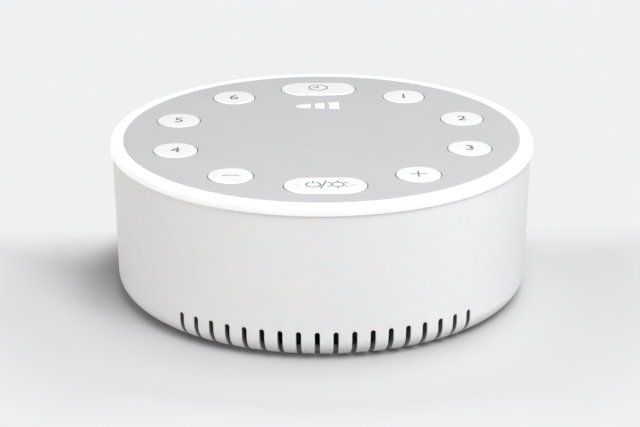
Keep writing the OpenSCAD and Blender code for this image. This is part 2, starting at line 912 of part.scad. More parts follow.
module speaker_terminals() {
    strip_z = flange_hi_z + strip_t;
    color([0.75, 0.6, 0.3]) {
        translate([0, tag_y, 0]) block(strip_w, strip_d, flange_hi_z, strip_z);
        for (side = [-1, 1]) {
            translate([side * tag_x, tag_y, 0]) block(tag_w, tag_t, strip_z - eps, tag_top_z);
        }
    }
}

module speaker_screws() {
    color([0.25, 0.25, 0.26]) for (turn = BOARD_POST_TURNS) {
        around(speaker_screw_circle_r, turn) translate([0, 0, flange_hi_z]) mirror([0, 0, 1])
            cross_screw(speaker_screw_r, flange_hi_z - baffle_z - pilot_clear,
                speaker_head_r, speaker_head_h);
    }
}

module base_cover() {
    color([0.88, 0.88, 0.88]) difference() {
        post(cover_r, base_z, floor_z);
        for (turn = POST_TURNS) {
            around(post_circle_r, turn) {
                post(screw_hole_r, base_z - cut_over, floor_z + cut_over);
                post(head_r + head_clear, base_z - cut_over, base_z + head_sink + head_h);
            }
        }
        for (turn = FOOT_TURNS) {
            around(foot_circle_r, turn)
                post(foot_r + foot_clear, base_z - cut_over, base_z + foot_seat);
        }
        block(label_w, label_d, base_z - cut_over, base_z + label_depth);
    }
}

module base_screws() {
    shank_z = base_z + head_sink + head_h;
    color([0.6, 0.6, 0.62]) for (turn = POST_TURNS) {
        around(post_circle_r, turn) translate([0, 0, shank_z])
            cross_screw(screw_r, deck_z + screw_grip - shank_z, head_r, head_h);
    }
}

module feet() {
    color([0.35, 0.35, 0.36]) for (turn = FOOT_TURNS) {
        around(foot_circle_r, turn) post(foot_r, 0, base_z + foot_seat);
    }
}

module inlet_board() {
    color([0.05, 0.35, 0.2]) difference() {
        translate([-inlet_board_w / 2, inlet_board_y, inlet_board_z])
            cube([inlet_board_w, inlet_board_l, inlet_board_t]);
        for (side = [-1, 1]) {
            translate([side * inlet_screw_x, inlet_screw_y, 0])
                post(small_hole_r, inlet_board_z - cut_over, jack_z + cut_over);
        }
    }
}

module inlet_jack() {
    color([0.1, 0.1, 0.1]) difference() {
        translate([-jack_w / 2, jack_y - jack_l, jack_z]) cube([jack_w, jack_l, jack_h]);
        translate([0, jack_y + cut_over, jack_axis_z]) rotate([90, 0, 0])
            cylinder(r = jack_bore_r, h = jack_bore_l + cut_over);
    }
}

module inlet_pin() {
    color([0.8, 0.8, 0.82]) translate([0, jack_y - jack_bore_l, jack_axis_z])
        rotate([-90, 0, 0]) cylinder(r = jack_pin_r, h = jack_bore_l - jack_pin_short);
}

module inlet_screws() {
    color([0.7, 0.7, 0.72]) for (side = [-1, 1]) {
        translate([side * inlet_screw_x, inlet_screw_y, jack_z]) mirror([0, 0, 1])
            cross_screw(small_screw_r, jack_z - deck_z + small_screw_spare,
                small_head_r, small_head_h);
    }
}

module speaker_wires() {
    color([0.7, 0.1, 0.1]) for (side = [-1, 1]) {
        wire([side * tag_x, tag_y, tag_top_z],
            [side * wire_pitch / 2, speaker_socket_y, board_z - socket_h],
            [0, speaker_bow, 0], wire_r);
    }
}

module power_wires() {
    color([0.1, 0.1, 0.1]) for (side = [-1, 1]) {
        wire([side * power_pad_x, power_pad_y, jack_z],
            [side * wire_pitch / 2, power_socket_y, board_z - socket_h],
            [side * power_bow.x, power_bow.y, 0], wire_r);
    }
}

housing();
light_ring();
fascia();
pill_key(0);  // key_power
round_key(1);  // key_volume_up
round_key(2);  // key_sound_3
round_key(3);  // key_sound_2
round_key(4);  // key_sound_1
pill_key(5);  // key_timer
round_key(6);  // key_sound_6
round_key(7);  // key_sound_5
round_key(8);  // key_sound_4
round_key(9);  // key_volume_down
level_light_pipe();
dome_mat();
control_board();
ring_leds();
level_leds();
chips();
capacitors();
board_sockets();
board_screws();
baffle();
speaker_gasket();
speaker_basket();
speaker_surround();
speaker_cone();
dust_cap();
voice_coil();
spider();
front_plate();
magnet();
yoke();
speaker_terminals();
speaker_screws();
base_cover();
base_screws();
feet();
inlet_board();
inlet_jack();
inlet_pin();
inlet_screws();
speaker_wires();
power_wires();
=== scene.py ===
"""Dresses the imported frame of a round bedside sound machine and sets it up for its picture.

Front is -Y, right is +X, up is +Z and Z = 0 is the surface that the feet stand on. Turns are
degrees from the front towards the right. Sizes are written in millimetres times MM.
"""

import json
import logging
import math
from collections.abc import Callable
from dataclasses import dataclass, field
from enum import Enum
from functools import cache

import bmesh
import bpy
from mathutils import Matrix, Vector


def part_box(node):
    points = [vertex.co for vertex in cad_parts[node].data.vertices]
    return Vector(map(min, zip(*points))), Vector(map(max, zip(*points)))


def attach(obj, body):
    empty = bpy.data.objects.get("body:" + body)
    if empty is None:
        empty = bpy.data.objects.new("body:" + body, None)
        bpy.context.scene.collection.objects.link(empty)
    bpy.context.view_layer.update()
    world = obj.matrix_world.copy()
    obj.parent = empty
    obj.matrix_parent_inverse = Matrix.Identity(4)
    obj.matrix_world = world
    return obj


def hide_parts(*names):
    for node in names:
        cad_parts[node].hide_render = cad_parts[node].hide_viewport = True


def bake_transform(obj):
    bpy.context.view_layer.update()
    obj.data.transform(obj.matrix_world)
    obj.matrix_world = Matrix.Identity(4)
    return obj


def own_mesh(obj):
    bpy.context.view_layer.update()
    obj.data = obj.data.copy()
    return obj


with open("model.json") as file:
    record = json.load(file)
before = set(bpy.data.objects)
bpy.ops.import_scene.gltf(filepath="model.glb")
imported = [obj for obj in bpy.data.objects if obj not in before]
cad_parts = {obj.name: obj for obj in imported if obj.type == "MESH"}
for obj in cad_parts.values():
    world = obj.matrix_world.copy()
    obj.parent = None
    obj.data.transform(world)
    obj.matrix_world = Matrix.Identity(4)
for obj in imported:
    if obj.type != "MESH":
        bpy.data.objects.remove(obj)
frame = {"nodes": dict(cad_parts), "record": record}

log = logging.getLogger("sound machine")

MM = 0.001
TAU = 2 * math.pi
WELD = 0.002 * MM  # points closer than this are one
CREASE = math.radians(38)  # edges sharper than this stay sharp
LEVEL = 0.99999  # upward share of the normal from which a face counts as level
PANEL_OVER_MAT = 3.9 * MM  # height of the panel's underside over the mat's
SCREW_CIRCLE = 49 * MM  # distance of the long screws and their posts from the middle
SCREW_TURNS = (54, 126, 234, 306)

Point = tuple[float, float]
Outline = list[Point]
Spot = tuple[float, float, float]
Colour = tuple[float, float, float]


class Body(str, Enum):
    """The bodies that pieces ride on, apart from the keys' own."""

    ROOT = "root"
    CONE = "cone"


class Shape(Enum):
    """The two outlines that a key can have."""

    ROUND = "round"
    LONG = "long"


# ---------------------------------------------------------------- outlines


def arc_points(centre: Point, radius: float, start: float, end: float, steps: int) -> Outline:
    """Lays points along an arc.

    Args:
        centre: Centre of the arc.
        radius: Radius of the arc.
        start: First angle in degrees.
        end: Last angle in degrees.
        steps: Number of stretches between the points.

    Returns:
        The points, both ends among them.
    """
    angles = [math.radians(start + (end - start) * k / steps) for k in range(steps + 1)]
    return [(centre[0] + radius * math.cos(a), centre[1] + radius * math.sin(a)) for a in angles]


def circle_points(centre: Point, radius: float, steps: int) -> Outline:
    """Points round a whole circle, counter-clockwise, the first one not repeated."""
    return arc_points(centre, radius, 0, 360, steps)[:-1]


def around(radius: float, angle: float, centre: Point = (0, 0)) -> Point:
    """A place at a distance and a turn in radians from the front, round a centre."""
    return centre[0] + radius * math.sin(angle), centre[1] - radius * math.cos(angle)


def turned(profile: Outline, angle: float, centre: Point = (0, 0)) -> list[Spot]:
    """A profile of radius and height, set upright at a turn in radians from the front."""
    return [(*around(r, angle, centre), z) for r, z in profile]


def stadium(half_straight: float, radius: float, steps: int = 96) -> Outline:
    """Outlines a round or long key.

    Args:
        half_straight: Half of the straight stretch; 0 gives a circle.
        radius: Radius of the ends.
        steps: Number of points, an even number.

    Returns:
        The outline, counter-clockwise round the origin.
    """
    half = steps // 2
    right = arc_points((half_straight, 0), radius, -90, 90, half - 1)
    left = arc_points((-half_straight, 0), radius, 90, 270, half - 1)
    if half_straight == 0:
        return circle_points((0, 0), radius, steps)
    return right + left


def grown(outline: Outline, amount: float) -> Outline:
    """Moves every side of a counter-clockwise outline outwards.

    Args:
        outline: The outline's corners.
        amount: Distance outwards; below 0 the outline shrinks.

    Returns:
        The moved corners, one for each old one.
    """
    moved = []
    for i, (x, y) in enumerate(outline):
        before = Vector((x - outline[i - 1][0], y - outline[i - 1][1])).normalized()
        after_x, after_y = outline[(i + 1) % len(outline)]
        after = Vector((after_x - x, after_y - y)).normalized()
        normal = Vector((before.y + after.y, -before.x - after.x))
        normal *= 2 * amount / max(normal.length_squared, 0.5)
        moved.append((x + normal.x, y + normal.y))
    return moved


def softened(corners: list[Spot], steps: int = 5) -> Outline:
    """Rounds the corners of an outline.

    Args:
        corners: X, Y and the rounding radius of each corner, in order.
        steps: Number of stretches in each rounding.

    Returns:
        The outline with an arc in place of each corner that has a radius.
    """
    points: Outline = []
    for i, (x, y, radius) in enumerate(corners):
        here = Vector((x, y))
        to_last = (Vector(corners[i - 1][:2]) - here).normalized()
        to_next = (Vector(corners[(i + 1) % len(corners)][:2]) - here).normalized()
        if radius <= 0:
            points.append((x, y))
            continue
        half_angle = to_last.angle(to_next) / 2
        reach = radius / math.tan(half_angle)
        centre = here + (to_last + to_next).normalized() * (radius / math.sin(half_angle))
        first = here + to_last * reach - centre
        last = here + to_next * reach - centre
        sweep = first.angle_signed(last)
        for k in range(steps + 1):
            spoke = first.copy()
            spoke.rotate(Matrix.Rotation(-sweep * k / steps, 2))
            points.append((centre.x + spoke.x, centre.y + spoke.y))
    return points


def rectangle(low: Point, high: Point, radius: float, steps: int = 5) -> Outline:
    """A rectangle between two corners, each corner rounded."""
    (left, front), (right, back) = low, high
    return softened([(left, front, radius), (right, front, radius), (right, back, radius),
                     (left, back, radius)], steps)


# ---------------------------------------------------------------- meshes


def added(name: str, data: bpy.types.ID) -> bpy.types.Object:
    """Adds an object with its data to the scene."""
    thing = bpy.data.objects.new(name, data)
    bpy.context.scene.collection.objects.link(thing)
    return thing


def finished(name: str, work: bmesh.types.BMesh, material: bpy.types.Material) -> bpy.types.Object:
    """Makes a mesh object of gathered faces, and uses them up."""
    mesh = bpy.data.meshes.new(name)
    work.to_mesh(mesh)
    work.free()
    mesh.materials.append(material)
    return added(name, mesh)


def evaluated_mesh(thing: bpy.types.Object) -> bpy.types.Mesh:
    """A plain mesh of an object, as its modifiers or its curve shape it."""
    bpy.context.view_layer.update()
    ready = bpy.context.evaluated_depsgraph_get()
    return bpy.data.meshes.new_from_object(thing.evaluated_get(ready))


class Sheetwork:
    """Gathers faces for one piece and makes its mesh."""

    def __init__(self) -> None:
        """Starts with no faces."""
        self.spots: list[Spot] = []
        self.faces: list[tuple[int, ...]] = []

    def loop(self, spots: list[Spot]) -> list[int]:
        """Adds points and gives their numbers."""
        first = len(self.spots)
        self.spots.extend(spots)
        return list(range(first, len(self.spots)))

    def bridge(self, one: list[int], other: list[int], closed: bool = True) -> None:
        """Joins two loops of as many points with four-sided faces.

        Args:
            one: Numbers of the first loop's points.
            other: Numbers of the second loop's points.
            closed: Whether the last points join the first ones.
        """
        count = len(one)
        for i in range(count if closed else count - 1):
            j = (i + 1) % count
            self.faces.append((one[i], one[j], other[j], other[i]))

    def cap(self, loop: list[int]) -> None:
        """Closes a flat loop with one face."""
        self.faces.append(tuple(loop))

    def loft(self, loops: list[list[Spot]], capped: bool = True) -> None:
        """Joins loops in order, and closes both ends where capped.

        Args:
            loops: Loops of as many points each.
            capped: Whether the first and the last loop get a face.
        """
        numbers = [self.loop(spots) for spots in loops]
        for one, other in zip(numbers, numbers[1:]):
            self.bridge(one, other)
        if capped:
            self.cap(numbers[0])
            self.cap(numbers[-1])

    def ring(self, loops: list[list[Spot]]) -> None:
        """Joins loops in order and the last one to the first."""
        numbers = [self.loop(spots) for spots in loops]
        for one, other in zip(numbers, numbers[1:] + numbers[:1]):
            self.bridge(one, other)

    def revolve(self, profile: Outline, segments: int, centre: Point = (0, 0)) -> None:
        """Turns a closed profile of radius and height once round an upright axis.

        Args:
            profile: The profile, which may touch the axis.
            segments: Number of steps round the axis.
            centre: X and Y of the axis.
        """
        turns = [TAU * k / segments for k in range(segments)]
        self.ring([turned(profile, a, centre) for a in turns])

    def piece(self, name: str, material: bpy.types.Material) -> bpy.types.Object:
        """Makes the mesh object.

        Args:
            name: Name of the piece.
            material: Its material.

        Returns:
            The object, welded, closed, with its faces outwards and its creases kept.
        """
        mesh = bpy.data.meshes.new(name)
        mesh.from_pydata(self.spots, [], self.faces)
        thing = added(name, mesh)
        mesh.materials.append(material)
        tidy_mesh(thing)
        return thing


def tidy_mesh(thing: bpy.types.Object) -> None:
    """Welds a piece's mesh, turns its faces outwards and smooths it up to its creases.

    Level faces stay flat.

    Args:
        thing: The mesh object.
    """
    work = bmesh.new()
    work.from_mesh(thing.data)
    bmesh.ops.remove_doubles(work, verts=work.verts, dist=WELD)
    bmesh.ops.dissolve_degenerate(work, edges=work.edges, dist=WELD / 2)
    bmesh.ops.recalc_face_normals(work, faces=work.faces)
    work.to_mesh(thing.data)
    work.free()
    thing.data.shade_smooth()
    thing.data.set_sharp_from_angle(angle=CREASE)
    for face in thing.data.polygons:
        face.use_smooth = abs(face.normal.z) < LEVEL


def raised(outline: Outline, z: float, centre: Point = (0, 0)) -> list[Spot]:
    """Places an outline at a height round a centre."""
    return [(centre[0] + x, centre[1] + y, z) for x, y in outline]


@dataclass(frozen=True)
class Opening:
    """An opening or a well in a plate.

    Attributes:
        outline: Its outline, counter-clockwise.
        steps: How far the outline is grown, and at which height, from the plate's face inwards.
        through: Whether it reaches the plate's other face.
    """

    outline: Outline
    steps: tuple[Point, ...]
    through: bool = True


def soft_edge(face: float, inward: float, radius: float, steps: int = 3) -> list[Point]:
    """Growth and height along the rounded edge of an opening.

    Args:
        face: Height of the face.
        inward: 1 if the opening runs upwards from it, -1 if downwards.
        radius: Rounding of the edge.
        steps: Number of stretches in the rounding.

    Returns:
        The pairs, from the face to the opening's wall.
    """
    turns = [math.radians(90 * k / steps) for k in range(steps + 1)]
    return [(radius * (1 - math.sin(a)), face + inward * radius * (1 - math.cos(a)))
            for a in turns]


def pierced_plate(name: str, rim: Outline, rim_steps: list[Point], openings: list[Opening],
                  material: bpy.types.Material, spot: Point = (0, 0)) -> bpy.types.Object:
    """Makes a flat plate with openings, wells and soft edges.

    Args:
        name: Name of the piece.
        rim: The plate's outline.
        rim_steps: How far the rim is drawn in, and at which height, from face to face.
        openings: Its openings and wells.
        material: Its material.
        spot: Distance by which the whole plate is moved.

    Returns:
        The plate.
    """
    work = bmesh.new()
    faces: list[list[bmesh.types.BMEdge]] = [[], []]
    walls = [Opening(rim, tuple((-draw, z) for draw, z in rim_steps))] + openings
    for wall in walls:
        loops = [[work.verts.new((x + spot[0], y + spot[1], z))
                  for x, y in grown(wall.outline, growth)] for growth, z in wall.steps]
        count = len(wall.outline)
        for one, other in zip(loops, loops[1:]):
            for i in range(count):
                j = (i + 1) % count
                work.faces.new((one[i], one[j], other[j], other[i]))
        ends = [(0, loops[0])] + ([(1, loops[-1])] if wall.through else [])
        for side, loop in ends:
            faces[side] += [work.edges.get((loop[i], loop[(i + 1) % count]))
                            for i in range(count)]
        if not wall.through:
            work.faces.new(loops[-1])
    for edges in faces:
        bmesh.ops.triangle_fill(work, edges=edges, use_beauty=True)
    plate = finished(name, work, material)
    tidy_mesh(plate)
    return plate


# ---------------------------------------------------------------- geometry nodes


@dataclass
class TurnedCopies:
    """Repeats a cell round the upright axis with Geometry Nodes.

    Attributes:
        count: Number of copies.
        pitch: Turn between neighbouring copies, in degrees.
        first: Turn of the first copy, in degrees.
    """

    count: int
    pitch: float
    first: float

    @staticmethod
    @cache
    def tree() -> bpy.types.NodeTree:
        """Builds the node tree."""
        tree = bpy.data.node_groups.new("turned copies", "GeometryNodeTree")
        tree.interface.new_socket("Geometry", in_out="OUTPUT", socket_type="NodeSocketGeometry")
        for name, kind in (("Geometry", "Geometry"), ("Cell", "Object"), ("Count", "Int"),
                           ("Pitch", "Float"), ("First", "Float"), ("Material", "Material")):
            tree.interface.new_socket(name, in_out="INPUT", socket_type="NodeSocket" + kind)
        add = tree.nodes.new
        given, result = add("NodeGroupInput"), add("NodeGroupOutput")
        points, cell = add("GeometryNodeMeshLine"), add("GeometryNodeObjectInfo")
        index, turn = add("GeometryNodeInputIndex"), add("ShaderNodeMath")
        spin, copies = add("ShaderNodeCombineXYZ"), add("GeometryNodeInstanceOnPoints")
        both, real = add("GeometryNodeJoinGeometry"), add("GeometryNodeRealizeInstances")
        dress = add("GeometryNodeSetMaterial")
        points.inputs["Offset"].default_value = (0, 0, 0)
        turn.operation = "MULTIPLY_ADD"
        for source, output, target, socket in (
            (given, "Count", points, "Count"), (given, "Cell", cell, "Object"),
            (index, "Index", turn, 0), (given, "Pitch", turn, 1), (given, "First", turn, 2),
            (turn, 0, spin, "Z"), (points, "Mesh", copies, "Points"),
            (cell, "Geometry", copies, "Instance"), (spin, "Vector", copies, "Rotation"),
            (given, "Geometry", both, "Geometry"), (copies, "Instances", both, "Geometry"),
            (both, "Geometry", real, "Geometry"), (real, "Geometry", dress, "Geometry"),
            (given, "Material", dress, "Material"), (dress, "Geometry", result, "Geometry"),
        ):
            tree.links.new(source.outputs[output], target.inputs[socket])
        return tree

    def onto(self, plain: bpy.types.Object, cell: bpy.types.Object) -> bpy.types.Object:
        """Adds the copies of a cell to a plain piece.

        Args:
            plain: The piece that the copies join, which may hold no faces.
            cell: The mesh object to repeat, which is used up.

        Returns:
            The plain piece with the copies in its mesh.
        """
        material = plain.data.materials[0]
        modifier = plain.modifiers.new("copies", "NODES")
        modifier.node_group = self.tree()
        values = {
            "Cell": cell,
            "Count": self.count,
            "Pitch": math.radians(self.pitch),
            "First": math.radians(self.first),
            "Material": material,
        }
        for item in modifier.node_group.interface.items_tree:
            if item.in_out == "INPUT" and item.name in values:
                modifier[item.identifier] = values[item.name]
        mesh = evaluated_mesh(plain)
        plain.modifiers.clear()
        plain.data = mesh
        mesh.name = plain.name
        bpy.data.objects.remove(cell)
        tidy_mesh(plain)
        return plain


def joined(name: str, things: list[bpy.types.Object]) -> bpy.types.Object:
    """Joins mesh objects of one material into one, and uses them up."""
    work = bmesh.new()
    material = things[0].data.materials[0]
    for thing in things:
        work.from_mesh(thing.data)
        bpy.data.objects.remove(thing)
    return finished(name, work, material)


def empty_piece(name: str, material: bpy.types.Material) -> bpy.types.Object:
    """Makes a piece with no faces yet, for copies to join."""
    return Sheetwork().piece(name, material)


def in_pairs(names: tuple[str, str], material: bpy.types.Material,
             cell: Callable[[], bpy.types.Object]) -> list[bpy.types.Object]:
    """Places what stands at the four long screws, as two pieces of two copies.

    Args:
        names: Names of the two pieces.
        material: Their material.
        cell: Builds one copy, at the front.

    Returns:
        Both pieces.
    """
    return [TurnedCopies(2, 180, first).onto(empty_piece(name, material), cell())
            for name, first in zip(names, SCREW_TURNS)]


def settle(piece: bpy.types.Object, node: str | None = None,
         body: str = Body.ROOT.value) -> None:
    """Puts a piece on its body and hides the CAD node that it replaces, if any.

    Args:
        piece: The finished piece.
        node: The CAD node that it replaces, if it does.
        body: The body that it rides on.
    """
    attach(piece, body)
    if node:
        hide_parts(node)
    log.info("%s: %d faces", piece.name, len(piece.data.polygons))


def panel_underside() -> float:
    """Height of the key panel's underside."""
    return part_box("dome_mat")[0].z + PANEL_OVER_MAT


# ---------------------------------------------------------------- finishes


def srgb(red: float, green: float, blue: float) -> Colour:
    """Turns a screen colour of 0 to 255 into the linear colour that shaders take."""

    def linear(value: float) -> float:
        """One channel of it."""
        share = value / 255
        return share / 12.92 if share <= 0.04045 else ((share + 0.055) / 1.055) ** 2.4

    return linear(red), linear(green), linear(blue)


class Bench:
    """Adds and joins the nodes of one node tree."""

    def __init__(self, tree: bpy.types.NodeTree) -> None:
        """Takes the tree to work on."""
        self.tree = tree

    def add(self, kind: str, **settings: object) -> bpy.types.Node:
        """Adds a node.

        Args:
            kind: The node's type.
            settings: Properties to set on it.

        Returns:
            The node.
        """
        node = self.tree.nodes.new(kind)
        for key, value in settings.items():
            setattr(node, key, value)
        return node

    def feed(self, socket: bpy.types.NodeSocket, value: object) -> None:
        """Links an output to a socket, or sets the socket's value."""
        if isinstance(value, bpy.types.NodeSocket):
            self.tree.links.new(value, socket)
        else:
            socket.default_value = value

    def math(self, operation: str, *values: object) -> bpy.types.NodeSocket:
        """Adds a Math node and gives its output.

        Args:
            operation: Name of the operation.
            values: What goes into its sockets, in order.

        Returns:
            Its output socket.
        """
        node = self.add("ShaderNodeMath", operation=operation)
        for socket, value in zip(node.inputs, values):
            self.feed(socket, value)
        return node.outputs[0]

    def split(self, position: bpy.types.NodeSocket) -> bpy.types.NodeOutputs:
        """Splits a position into X, Y and Z."""
        node = self.add("ShaderNodeSeparateXYZ")
        self.feed(node.inputs[0], position)
        return node.outputs

    def noise(self, position: bpy.types.NodeSocket, scale: object, detail: float = 3,
              roughness: float = 0.5) -> bpy.types.NodeSocket:
        """Adds a Noise node and gives its value.

        Args:
            position: Where to read it.
            scale: Waves a metre.
            detail: Number of finer layers.
            roughness: Weight of those layers.

        Returns:
            The value, around 0.5.
        """
        node = self.add("ShaderNodeTexNoise")
        self.feed(node.inputs["Vector"], position)
        self.feed(node.inputs["Scale"], scale)
        node.inputs["Detail"].default_value = detail
        node.inputs["Roughness"].default_value = roughness
        return node.outputs["Fac"]

    def spread(self, value: object, low: object, high: object) -> bpy.types.NodeSocket:
        """Maps a noise value of 0.3 to 0.7 onto a range.

        Args:
            value: The noise.
            low: Result at 0.3 and below.
            high: Result at 0.7 and above.

        Returns:
            The mapped value.
        """
        node = self.add("ShaderNodeMapRange")
        self.feed(node.inputs["Value"], value)
        node.inputs["From Min"].default_value = 0.3
        node.inputs["From Max"].default_value = 0.7
        self.feed(node.inputs["To Min"], low)
        self.feed(node.inputs["To Max"], high)
        return node.outputs["Result"]

    def ramp(self, value: object, start: float, end: float) -> bpy.types.NodeSocket:
        """Rises smoothly from 0 at the start to 1 at the end."""
        node = self.add("ShaderNodeMapRange", interpolation_type="SMOOTHSTEP")
        self.feed(node.inputs["Value"], value)
        node.inputs["From Min"].default_value = start
        node.inputs["From Max"].default_value = end
        return node.outputs["Result"]

    def mix(self, factor: object, one: object, other: object) -> bpy.types.NodeSocket:
        """Mixes two colours and gives the result.

        Args:
            factor: Share of the second colour.
            one: First colour or socket.
            other: Second colour or socket.

        Returns:
            The mixed colour.
        """
        node = self.add("ShaderNodeMix", data_type="RGBA")
        self.feed(node.inputs["Factor"], factor)
        self.feed(node.inputs[6], one)
        self.feed(node.inputs[7], other)
        return node.outputs[2]


def new_group(name: str, inputs: dict[str, str], outputs: dict[str, str]) -> tuple[
        Bench, bpy.types.NodeOutputs, bpy.types.NodeInputs]:
    """Makes an empty shader group with named sockets.

    Args:
        name: The group's name.
        inputs: Socket type of each input by its name.
        outputs: Socket type of each output by its name.

    Returns:
        The bench to fill it on, what it is given and what it puts out.
    """
    tree = bpy.data.node_groups.new(name, "ShaderNodeTree")
    for direction, sockets in (("INPUT", inputs), ("OUTPUT", outputs)):
        for socket, kind in sockets.items():
            tree.interface.new_socket(socket, in_out=direction, socket_type="NodeSocket" + kind)
    bench = Bench(tree)
    return bench, bench.add("NodeGroupInput").outputs, bench.add("NodeGroupOutput").inputs


@cache
def grain_group() -> bpy.types.NodeTree:
    """The fine, slightly pebbled skin of moulded plastic: puts out its height."""
    bench, given, result = new_group(
        "moulded grain", {"Position": "Vector", "Scale": "Float", "Pebble": "Float"},
        {"Height": "Float"})
    cells = bench.add("ShaderNodeTexVoronoi", feature="SMOOTH_F1")
    cells.inputs["Smoothness"].default_value = 0.8
    bench.feed(cells.inputs["Vector"], given["Position"])
    bench.feed(cells.inputs["Scale"], given["Scale"])
    fine_scale = bench.math("MULTIPLY", given["Scale"], 1.7)
    fine = bench.noise(given["Position"], fine_scale, 4, 0.6)
    pebbles = bench.math("MULTIPLY", cells.outputs["Distance"], given["Pebble"])
    bench.feed(result["Height"], bench.math("ADD", fine, pebbles))
    return bench.tree


@cache
def drift_group() -> bpy.types.NodeTree:
    """Slow change of tone over a surface: puts out the colour and a mask of 0 to 1."""
    bench, given, result = new_group(
        "tone drift", {"Position": "Vector", "Scale": "Float", "Light": "Color", "Dark": "Color"},
        {"Colour": "Color", "Mask": "Float"})
    wide = bench.noise(given["Position"], given["Scale"], 2)
    close_scale = bench.math("MULTIPLY", given["Scale"], 9.0)
    close = bench.noise(given["Position"], close_scale, 5, 0.6)
    both = bench.math("MULTIPLY_ADD", close, 0.4, bench.math("MULTIPLY", wide, 0.6))
    mask = bench.spread(both, 0.0, 1.0)
    bench.feed(result["Colour"], bench.mix(mask, given["Light"], given["Dark"]))
    bench.feed(result["Mask"], mask)
    return bench.tree


@cache
def handling_group() -> bpy.types.NodeTree:
    """Faint patches where hands and dirt changed the gloss: puts out the roughness."""
    bench, given, result = new_group(
        "handling", {"Position": "Vector", "Scale": "Float", "Smooth": "Float", "Rough": "Float"},
        {"Roughness": "Float"})
    patches = bench.noise(given["Position"], given["Scale"], 6, 0.65)
    bench.feed(result["Roughness"], bench.spread(patches, given["Smooth"], given["Rough"]))
    return bench.tree


class Shader:
    """One material under construction."""

    def __init__(self, name: str) -> None:
        """Makes the material with a plain Principled shader."""
        self.material = bpy.data.materials.new(name)
        self.material.use_nodes = True
        self.bench = Bench(self.material.node_tree)
        self.skin = self.material.node_tree.nodes["Principled BSDF"]
        self.position = self.bench.add("ShaderNodeTexCoord").outputs["Object"]

    def group(self, tree: bpy.types.NodeTree, **values: object) -> bpy.types.Node:
        """Places a shader group.

        Args:
            tree: The group.
            values: What goes into its inputs, by name.

        Returns:
            The group's node.
        """
        node = self.bench.add("ShaderNodeGroup", node_tree=tree)
        self.bench.feed(node.inputs["Position"], self.position)
        for key, value in values.items():
            self.bench.feed(node.inputs[key], value)
        return node

    def tone(self, scale: float, light: Colour, dark: Colour) -> bpy.types.NodeSocket:
        """A colour that drifts slowly between two."""
        node = self.group(drift_group(), Scale=scale, Light=rgba(light), Dark=rgba(dark))
        return node.outputs["Colour"]

    def handled(self, scale: float, smooth: float, rough: float) -> None:
        """Lets the roughness change in faint patches."""
        node = self.group(handling_group(), Scale=scale, Smooth=smooth, Rough=rough)
        self.drive("Roughness", node.outputs["Roughness"])

    def constant(self, socket: str, value: object) -> None:
        """Sets a value on the shader itself."""
        self.skin.inputs[socket].default_value = value

    def drive(self, socket: str, value: object) -> None:
        """Links a value that changes over the surface to the shader."""
        self.bench.feed(self.skin.inputs[socket], value)

    def bump(self, height: bpy.types.NodeSocket, distance: float, strength: float = 1.0) -> None:
        """Lets a height shape the surface's shading.

        Args:
            height: The height's output.
            distance: Depth of the relief in metres.
            strength: Share of it that shows.
        """
        node = self.bench.add("ShaderNodeBump")
        node.inputs["Distance"].default_value = distance
        node.inputs["Strength"].default_value = strength
        self.bench.feed(node.inputs["Height"], height)
        self.drive("Normal", node.outputs["Normal"])


def rgba(colour: Colour) -> tuple[float, float, float, float]:
    """A colour with full alpha."""
    return *colour, 1.0


@dataclass(frozen=True)
class Moulded:
    """A moulded plastic or rubber.

    Attributes:
        slot: Material slot of the record that it stands for.
        light: Colour of its lighter patches.
        dark: Colour of its darker patches.
        smooth: Roughness of its smoother patches.
        rough: Roughness of its rougher patches.
        grain: Grains a metre.
        relief: Depth of the grain in metres.
        pebble: Share of rounded pebbles in the grain.
        glow: Strength of its own light.
        through: Depth in metres that light enters it; 0 for an opaque one.
        gloss: Strength of its reflections; 0.5 for common plastic.
        drift: Changes of tone a metre.
        wear: Changes of gloss a metre.
        scatter: Share of the light that enters it, where any does.
    """

    slot: str
    light: Colour
    dark: Colour
    smooth: float = 0.38
    rough: float = 0.5
    grain: float = 2600
    relief: float = 0.01 * MM
    pebble: float = 0.6
    glow: float = 0.0
    through: float = 0.0
    gloss: float = 0.5
    drift: float = 22.0
    wear: float = 45.0
    scatter: float = 0.25

    def colour(self, shader: Shader) -> bpy.types.NodeSocket:
        """The colour over the surface."""
        return shader.tone(self.drift, self.light, self.dark)

    def material(self) -> bpy.types.Material:
        """Builds the material."""
        shader = Shader(self.slot)
        colour = self.colour(shader)
        grain = shader.group(grain_group(), Scale=self.grain, Pebble=self.pebble)
        shader.drive("Base Color", colour)
        shader.handled(self.wear, self.smooth, self.rough)
        shader.constant("Specular IOR Level", self.gloss)
        shader.bump(grain.outputs["Height"], self.relief)
        if self.glow:
            shader.drive("Emission Color", colour)
            shader.constant("Emission Strength", self.glow)
        if self.through:
            shader.constant("Subsurface Weight", self.scatter)
            shader.constant("Subsurface Scale", self.through)
        return shader.material


